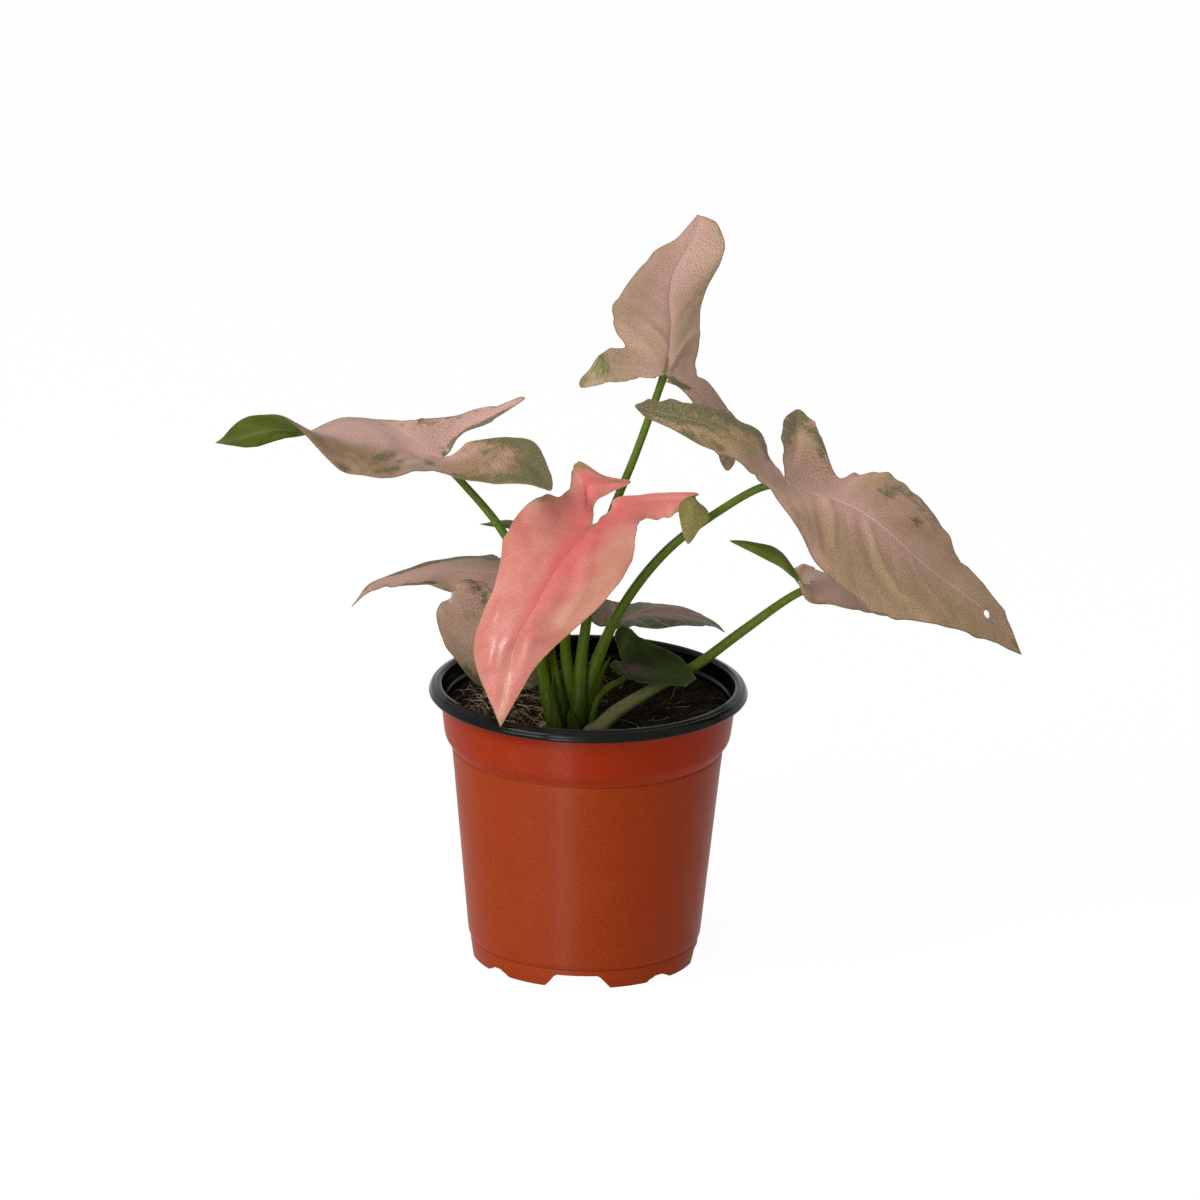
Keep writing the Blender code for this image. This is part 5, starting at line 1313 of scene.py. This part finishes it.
terracotta = plastic("terracotta_plastic", (0.32, 0.038, 0.004), (0.325, 0.024, 0.001), (0.36, 0.06, 0.014),
                     roughness=0.48, scuffs=0.4, gloss=0.12, stretch=0.9)
black_plastic = plastic("black_plastic", (0.004, 0.004, 0.003), (0.004, 0.004, 0.003), (0.014, 0.014, 0.012),
                        roughness=0.12, scuffs=0.5, gloss=0.1, stretch=0.0)
print("materials:", terracotta.name, black_plastic.name)

# %% [markdown]
# Each skin is turned like a bowl on a wheel: its profile is drawn once, outside and inside in one
# closed line, and spun round the axis.

# %% Profiles of the two skins, radius and height in mm
OUTSIDE = [(50.2, 92.6), (49.6, 88), (49, 83), (48.6, 79.6), (48.35, 78.4), (47.95, 77.4), (47.2, 76.2),
    (46.5, 75.2), (46.15, 74.65), (46, 74.35), (45.62, 74.15), (45.58, 74), (45.85, 73.75), (45.9, 73.4),
    (45.8, 72), (45.15, 66), (39.75, 10), (39.5, 8), (39.15, 7), (38.85, 6.6), (38.5, 6.45), (38.45, 6.3),
    (38.7, 6.05), (38.75, 5.6), (38.5, 0.35), (38.3, 0)]
UNDERNEATH = [(36.6, 0), (36.4, 0.25), (36.4, 4.2), (36.1, 4.5), (0, 4.5)]
SHELL_INSIDE = [(0, 5), (37.6, 5), (39, 8), (44.8, 67), (45, 73), (47.3, 77), (47.8, 79.5), (48.9, 88),
    (49.7, 92.6)]
LINING_OUTSIDE = [(49.68, 92.55), (48.88, 88), (47.78, 79.5), (47.28, 77), (44.98, 73), (44.78, 67),
    (38.98, 8), (37.58, 5.02), (0, 5.02)]
LINING_INSIDE = [(0, 5.6), (37.5, 5.6), (38.8, 8), (44.3, 67), (44.6, 72.8), (46.6, 77), (47.3, 79.5),
    (48.2, 88), (48.4, 89.3), (49, 89.9), (49.2, 90.6), (49.25, 94.6)]
LIP = [(49.45, 95.4), (49.8, 96), (50.4, 96.28), (51.1, 96.25), (51.75, 95.95), (52, 95.7),
    (52.25, 95.68), (52.75, 95.5), (53.3, 94.95), (53.6, 94.3), (53.68, 93.95), (53.85, 93.75), (54, 93.3),
    (53.95, 92.9), (53.7, 92.6), (53.2, 92.5), (51.5, 92.62)]
TURN_STEPS = 256
print("profile points:", len(OUTSIDE + UNDERNEATH + SHELL_INSIDE), len(LIP + LINING_OUTSIDE + LINING_INSIDE))


# %% Turning a profile
def lathe(profile):
    """Vertices and faces of a turned skin, from a profile that closes on itself."""
    verts, faces, rings = [], [], []
    for r, z in profile:
        turns = [math.tau * k / TURN_STEPS for k in range(TURN_STEPS if r else 1)]
        rings.append(list(range(len(verts), len(verts) + len(turns))))
        verts += [(r * math.sin(a), -r * math.cos(a), z) for a in turns]
    for upper, lower in zip(rings, rings[1:] + rings[:1]):
        if len(upper) == len(lower) == 1:
            continue
        for k in range(TURN_STEPS):
            m = (k + 1) % TURN_STEPS
            if len(upper) == 1:
                faces.append((upper[0], lower[k], lower[m]))
            elif len(lower) == 1:
                faces.append((upper[k], lower[0], upper[m]))
            else:
                faces.append((upper[k], lower[k], lower[m], upper[m]))
    return verts, faces


print("faces of the shell before it is cut:", len(lathe(OUTSIDE + UNDERNEATH + SHELL_INSIDE)[1]))

# %% [markdown]
# The skirt's gaps are cut with wedges, as a press tool would: four wide trapezoids, and four small
# notches between them, then the drain holes in the floor. Drawing them into the net by hand would give
# fewer faces, but the cut keeps the walls' thickness right by itself.

# %% Wedges and pins
BIG_GAP_AT = (-3.2, 86.8, 176.8, 266.8)
SMALL_NOTCH_AT = (-49.0, 41.5, 131.8, 221.8)
BIG_GAP = (16.7, 11.0, 4.45, 0.6)    # half width low and high, degrees; height and rounding, mm
SMALL_NOTCH = (8.0, 3.6, 1.9, 0.9)
CUT_FROM_R, CUT_TO_R = 32.0, 42.0   # the wedges reach from inside the skirt to outside it
DRAIN_AT_R, DRAIN_AT_Z, DRAIN_R, DRAIN_DEEP = 26.0, 5.0, 4.5, 3.0


def wedge(at, half_low, half_high, top, round_by):
    """A gap's outline as angle and height: straight sides, upper corners rounded by so many mm."""
    steep = (half_low - half_high) / top
    sides = [(half_low + steep, -1.0), (half_high + steep * round_by, top - round_by)]
    for t in map(math.radians, (30, 60, 90)):
        sides.append((half_high - (1.0 - math.cos(t)) * round_by * 1.5, top - round_by * (1.0 - math.sin(t))))
    return [(at - w, z) for w, z in sides] + [(at + w, z) for w, z in reversed(sides)]


def mesh_from(bm, name):
    mesh = bpy.data.meshes.new(name)
    bm.to_mesh(mesh)
    bm.free()
    return mesh


def wedge_tool(rings):
    """One closed wedge for each outline."""
    bm = bmesh.new()
    for ring in rings:
        inner, outer = ([bm.verts.new(Vector((*plan(a, r), z)) * MM) for a, z in ring]
                        for r in (CUT_FROM_R, CUT_TO_R))
        bm.faces.new(inner)
        bm.faces.new(outer[::-1])
        for i in range(len(ring)):
            j = (i + 1) % len(ring)
            bm.faces.new((inner[i], outer[i], outer[j], inner[j]))
    bmesh.ops.recalc_face_normals(bm, faces=bm.faces)
    return mesh_from(bm, "skirt_gaps")


def drain_tool():
    """An upright pin for each drain hole."""
    bm = bmesh.new()
    for a in BIG_GAP_AT:
        spot = Vector((*plan(a, DRAIN_AT_R), DRAIN_AT_Z)) * MM
        bmesh.ops.create_cone(bm, cap_ends=True, segments=40, radius1=DRAIN_R * MM, radius2=DRAIN_R * MM,
                              depth=DRAIN_DEEP * MM, matrix=Matrix.Translation(spot))
    return mesh_from(bm, "drain_tool")


print(len(BIG_GAP_AT), "wide gaps,", len(SMALL_NOTCH_AT), "notches and", len(BIG_GAP_AT), "drain holes")


# %% Cutting
def subtract(obj, tool_mesh):
    """Cuts a tool's shape out of a piece and keeps the result as its mesh."""
    tool = add_object(tool_mesh.name, tool_mesh)
    cut = obj.modifiers.new("cut", "BOOLEAN")
    cut.operation = "DIFFERENCE"
    cut.solver = "EXACT"
    cut.object = tool
    bpy.context.view_layer.update()
    result = bpy.data.meshes.new_from_object(obj.evaluated_get(bpy.context.evaluated_depsgraph_get()))
    obj.modifiers.remove(cut)
    obj.data = result
    bpy.data.objects.remove(tool)
    result.shade_smooth()
    result.set_sharp_from_angle(angle=math.radians(35.0))


# %% Shell, lining and their cuts
shell = piece("pot_shell", *lathe(OUTSIDE + UNDERNEATH + SHELL_INSIDE), "terracotta_plastic", [terracotta],
              "pot")
lining = piece("pot_lining", *lathe(LIP + LINING_OUTSIDE + LINING_INSIDE), "terracotta_plastic",
               [black_plastic], "pot")
subtract(shell, wedge_tool([wedge(a, *BIG_GAP) for a in BIG_GAP_AT]
                           + [wedge(a, *SMALL_NOTCH) for a in SMALL_NOTCH_AT]))
for skin in (shell, lining):
    subtract(skin, drain_tool())
print("pot skins:", len(shell.data.polygons), len(lining.data.polygons), "faces")

# %% [markdown]
# ## The potting mix
# Loose peat and coir: a lumpy dark surface under a tangle of brown, dark and pale fibres. The lumps
# could be a bump in the finish, but they catch the light and hide the fibres' feet, so they are real
# relief.

# %% Mix material
mix_brown, tree, shader = new_material("potting_mix")
where = place_on_object(tree)
lumps = cloud(tree, where, 350.0, 6.0, 0.7)
specks = cloud(tree, where, 1400.0, 3.0)
body = mix(tree, fade(tree, lumps, 0.35, 0.7), (0.003, 0.0018, 0.001), (0.035, 0.021, 0.011))
body = mix(tree, fade(tree, specks, 0.6, 0.75, 0.0, 0.7), body, (0.13, 0.085, 0.045))
finish(tree, shader, body, bump(tree, lumps, 0.9, 1.2 * MM), Roughness=0.95, Specular_IOR_Level=0.05)
print("material:", mix_brown.name)

# %% [markdown]
# The surface is a net of rings and spokes. It rises a little to the wall, where it was pressed down
# less, and the same net goes on down inside the pot, so that the mix is one closed solid.

# %% Mix surface
WALL_R = 48.0
MIX_RINGS, SPOKES = 64, 220
MIX_MIDDLE, MIX_RISE = 83.4, 4.6   # mm: how high the middle lies, and how much higher the wall
MIX_LUMPS = ((1.5, 9.0, 4.0), (0.9, 3.2, 9.0), (0.45, 1.3, 2.0))   # height and size in mm, and a seed
MIX_WALL = ((47.0, 79.5), (45.8, 76.4), (44.3, 73.0), (38.4, 8.0), (37.2, 5.9))  # down the pot's wall


def mix_height(x, y):
    """The height of the mix at a place in plan, mm: it rises to the wall, in lumps and crumbs."""
    r = math.hypot(x, y)
    lumps = sum(height * bumps(x, y, size, seed) for height, size, seed in MIX_LUMPS)
    return MIX_MIDDLE + MIX_RISE * (r / WALL_R) ** 2 + lumps * min(1.0, (WALL_R - r) / 3.0 + 0.25)


def ring(r, shift=0.0, z=None):
    """Points round the axis, on the mix or at a height of their own."""
    places = [(r * math.cos(a), r * math.sin(a))
              for a in (math.tau * (k + shift) / SPOKES for k in range(SPOKES))]
    return [(x, y, mix_height(x, y) if z is None else z) for x, y in places]


def mix_mesh():
    """A lumpy disc that goes on down the pot's wall and closes at the floor."""
    verts = [(0.0, 0.0, mix_height(0.0, 0.0))]
    for i in range(1, MIX_RINGS + 1):
        verts += ring(WALL_R * i / MIX_RINGS, 0.5 * (i % 2))
    for r, z in MIX_WALL:
        verts += ring(r, z=z)
    nexts = [(k, (k + 1) % SPOKES) for k in range(SPOKES)]
    faces = [(0, 1 + k, 1 + m) for k, m in nexts]
    last = len(verts) - SPOKES
    for a in range(1, last, SPOKES):
        b = a + SPOKES
        faces += [(a + k, b + k, b + m, a + m) for k, m in nexts]
    faces.append(tuple(range(last, last + SPOKES))[::-1])
    return verts, faces


verts, faces = mix_mesh()
piece("mix_surface", verts, faces, "potting_mix", [mix_brown], "potting_mix", sharp=80.0)
print("mix:", len(faces), "faces")

# %% [markdown]
# The coir lies in loose arcs. Hair strands are quicker, but a part needs real surfaces, so every fibre
# is a thin tube. A seeded generator draws the same fibres every time.

# %% Numbers for the fibres
rng = np.random.default_rng(11)
FIBRE_SIDES = 5
FIBRE_STEP = 1.2      # mm between the points of a fibre
TURN_AT, END_AT = WALL_R - 1.2, WALL_R - 0.8   # a fibre turns back near the wall, or ends there
TURN_BACK = 1.2       # radians
SHADE_BARE_SHARE = 0.93     # of the brown and pale fibres, on the right, where the bare dark mix is painted shade
print("fibres stay within", TURN_AT, "mm of the axis")


# %% Fibre material
def fibre_material(name, dark, light):
    """Fibres between two colours, from one to the next, with a rough skin."""
    mat, tree, shader = new_material(name)
    where = place_on_object(tree)
    colour = mix(tree, fade(tree, cloud(tree, where, 260.0, 4.0), 0.35, 0.65), dark, light)
    relief = bump(tree, cloud(tree, where, 3000.0, 2.0), 0.5, 0.1 * MM)
    finish(tree, shader, colour, relief, Roughness=0.75, Specular_IOR_Level=0.15)
    return mat


# %% The route of a fibre
def fibre(x, y, heading, length, radius, lift, bend_rate):
    """The path of one fibre on the mix; at the wall it turns back, or ends."""
    def ahead():
        return x + math.cos(heading) * length / count, y + math.sin(heading) * length / count

    count = max(5, int(length / FIBRE_STEP))
    path = []
    for k in range(count):
        t = k / (count - 1)
        rise = lift * math.sin(math.pi * t) + 0.25 * math.sin(5.0 * t + lift)
        path.append((x, y, mix_height(x, y) + radius + rise))
        heading += bend_rate * (1.0 + 0.5 * math.sin(7.0 * t))
        if math.hypot(*ahead()) > TURN_AT:
            heading += TURN_BACK
            if math.hypot(*ahead()) > END_AT:
                break
        x, y = ahead()
    return np.array(path)


print("points on a fibre of 10 mm:", len(fibre(0.0, 0.0, 0.0, 10.0, 0.1, 1.0, 0.0)))


# %% Tangles
def shade_thinning(x, y):
    """The share of fibres missing at a place: fewer to the right, where the bare dark mix is painted shade.
    """
    return float(soft_step(x + 6.0 * bumps(x, y, 12.0, 1.0), -4.0, 12.0)) * SHADE_BARE_SHARE


def tangle(name, count, material, lengths, radii, lifts, thinned=True):
    """One mesh of so many tries at a fibre, each drawn between the given limits."""
    verts, faces = [], []
    for _ in range(count):
        r, a = WALL_R * math.sqrt(rng.random()) * 0.97, rng.random() * math.tau
        x, y = r * math.cos(a), r * math.sin(a)
        if thinned and rng.random() < shade_thinning(x, y):
            continue
        path = fibre(x, y, rng.random() * math.tau, rng.uniform(*lengths), radii[0], rng.uniform(*lifts),
                     rng.normal(0.0, 0.09))
        if len(path) < 4:
            continue
        width = rng.uniform(*radii)
        more, its_faces = tube(path, np.linspace(width, width * 0.6, len(path)), FIBRE_SIDES)
        faces += [tuple(i + len(verts) for i in face) for face in its_faces]
        verts += more.tolist()
    piece(name, verts, faces, "potting_mix", [material])
    print(f"{name}: {len(faces)} faces")


# %% Brown, dark and pale fibres
coir_brown = fibre_material("coir_brown", (0.17, 0.11, 0.065), (0.55, 0.39, 0.26))
coir_pale = fibre_material("coir_pale", (0.30, 0.24, 0.16), (0.58, 0.52, 0.42))
coir_dark = fibre_material("coir_dark", (0.012, 0.007, 0.004), (0.06, 0.036, 0.02))
tangle("coir_tangle", 820, coir_brown, (4.0, 13.0), (0.08, 0.17), (0.0, 1.5))
tangle("coir_threads", 420, coir_dark, (4.0, 14.0), (0.10, 0.24), (0.0, 1.0), thinned=False)
tangle("pale_fibres", 80, coir_pale, (3.0, 12.0), (0.10, 0.18), (0.2, 2.4))

# %% [markdown]
# ## The crown
# Under the mix the stalks spring from a short fibrous stem. It is hidden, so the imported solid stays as
# it is and only gets a bark-like finish.

# %% Crown finish
crown_fibre, tree, shader = new_material("crown_fibre")
strands = cloud(tree, place_on_object(tree), 500.0, 5.0, 0.7)
finish(tree, shader, mix(tree, strands, (0.05, 0.032, 0.016), (0.16, 0.11, 0.06)),
       bump(tree, strands, 0.8, 0.6 * MM), Roughness=0.85)
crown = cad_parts["crown"]
crown.data.materials.clear()
crown.data.materials.append(crown_fibre)
print("material:", crown_fibre.name)

# %% [markdown]
# ## The floor
# The plant stands on a large white floor. The floor shines white by itself, but only to the camera and
# in gloss, so it throws no extra light on the plant. A small share of it is shaded in the usual way,
# and that share carries the soft shadow.

# %% White floor
SHADOW_SHARE = 0.07
GLOW = 1.035
FLOOR_REACH = 3.0    # metres to each side of the pot


def seen_directly(tree):
    """1 for rays from the camera, gloss and clear things; 0 for the light that falls on things."""
    rays = node(tree, "ShaderNodeLightPath").outputs
    seen = sums(tree, "MAXIMUM", rays["Is Camera Ray"], rays["Is Glossy Ray"])
    return sums(tree, "MAXIMUM", seen, rays["Is Transmission Ray"])


white, tree, shader = new_material("white_floor")
put(tree, shader.inputs["Base Color"], (0.9, 0.9, 0.9))
settle(shader, Roughness=0.9)
glow = put_all(tree, node(tree, "ShaderNodeEmission"), (1.0, 1.0, 1.0), GLOW)
share = times(tree, seen_directly(tree), 1.0 - SHADOW_SHARE)
both = put_all(tree, node(tree, "ShaderNodeMixShader"), share, shader.outputs[0], glow)
put(tree, tree.nodes["Material Output"].inputs["Surface"], both)

floor_mesh = bpy.data.meshes.new("floor")
corners = [(FLOOR_REACH * x, FLOOR_REACH * y, 0.0) for x, y in ((-1, -1), (1, -1), (1, 1), (-1, 1))]
floor_mesh.from_pydata(corners, [], [(0, 1, 2, 3)])
floor_mesh.materials.append(white)
add_object("floor", floor_mesh)
print("floor:", 2 * FLOOR_REACH, "m wide")

# %% [markdown]
# ## Sky and lamps
# An even white sky is behind everything and lights the plant only faintly. A window to the left gives
# the light, and a low strip fills in under the leaves. The glint is a tall narrow lamp that can only be
# seen in gloss: it draws the upright highlight on the pot and lights nothing else.

# %% World and lamps
SKY_ON_THINGS = 0.3
AIM_HEIGHT = 0.13    # metres up the plant, where every lamp points

world = bpy.data.worlds.new("studio")
bpy.context.scene.world = world
world.use_nodes = True
tree = world.node_tree
sky = tree.nodes["Background"]
put(tree, sky.inputs["Color"], (1.0, 1.0, 1.0))
put(tree, sky.inputs["Strength"], fade(tree, seen_directly(tree), 0.0, 1.0, SKY_ON_THINGS, 1.0))


def lamp(name, azimuth, elevation, away, power, width, height):
    """A soft rectangular light, turned to the plant; azimuth in degrees from the front, + to the right."""
    light = bpy.data.lights.new(name, "AREA")
    light.shape = "RECTANGLE"
    light.energy = power
    light.size, light.size_y = width, height
    obj = add_object(name, light)
    aim = AXIS + Vector((0.0, 0.0, AIM_HEIGHT))
    a, e = math.radians(azimuth), math.radians(elevation)
    obj.location = aim + away * Vector((math.sin(a) * math.cos(e), -math.cos(a) * math.cos(e), math.sin(e)))
    obj.rotation_euler = (aim - obj.location).to_track_quat("-Z", "Y").to_euler()
    return obj


lamp("window", -50.0, 38.0, 1.9, 22.0, 0.9, 0.9)
lamp("strip", -16.0, 8.0, 1.8, 5.5, 0.35, 0.6)
glint = lamp("glint", -20.0, 4.0, 1.8, 30.0, 0.22, 1.3)
glint.visible_diffuse = False
print("lamps:", len(bpy.data.lights))

# %% [markdown]
# ## The camera
# It stands well back with a long lens, looks a little down at the plant and is tilted by one degree.

# %% Camera
ELEVATION = math.radians(17.98)
TILT = math.radians(1.0)
DISTANCE = 3.0
AIM = AXIS + Vector((3.41, 0.0, 125.4)) * MM
camera_data = bpy.data.cameras.new("camera")
camera_data.lens = 266.94
camera_data.sensor_width = 36.0
camera = add_object("camera", camera_data)
camera.matrix_world = (Matrix.Translation(AIM) @ Matrix.Rotation(math.pi / 2 - ELEVATION, 4, "X")
                       @ Matrix.Rotation(TILT, 4, "Z") @ Matrix.Translation((0.0, 0.0, DISTANCE)))
bpy.context.scene.camera = camera
bpy.context.scene.view_settings.view_transform = "Standard"
print("camera:", camera_data.lens, "mm lens,", DISTANCE, "m away")
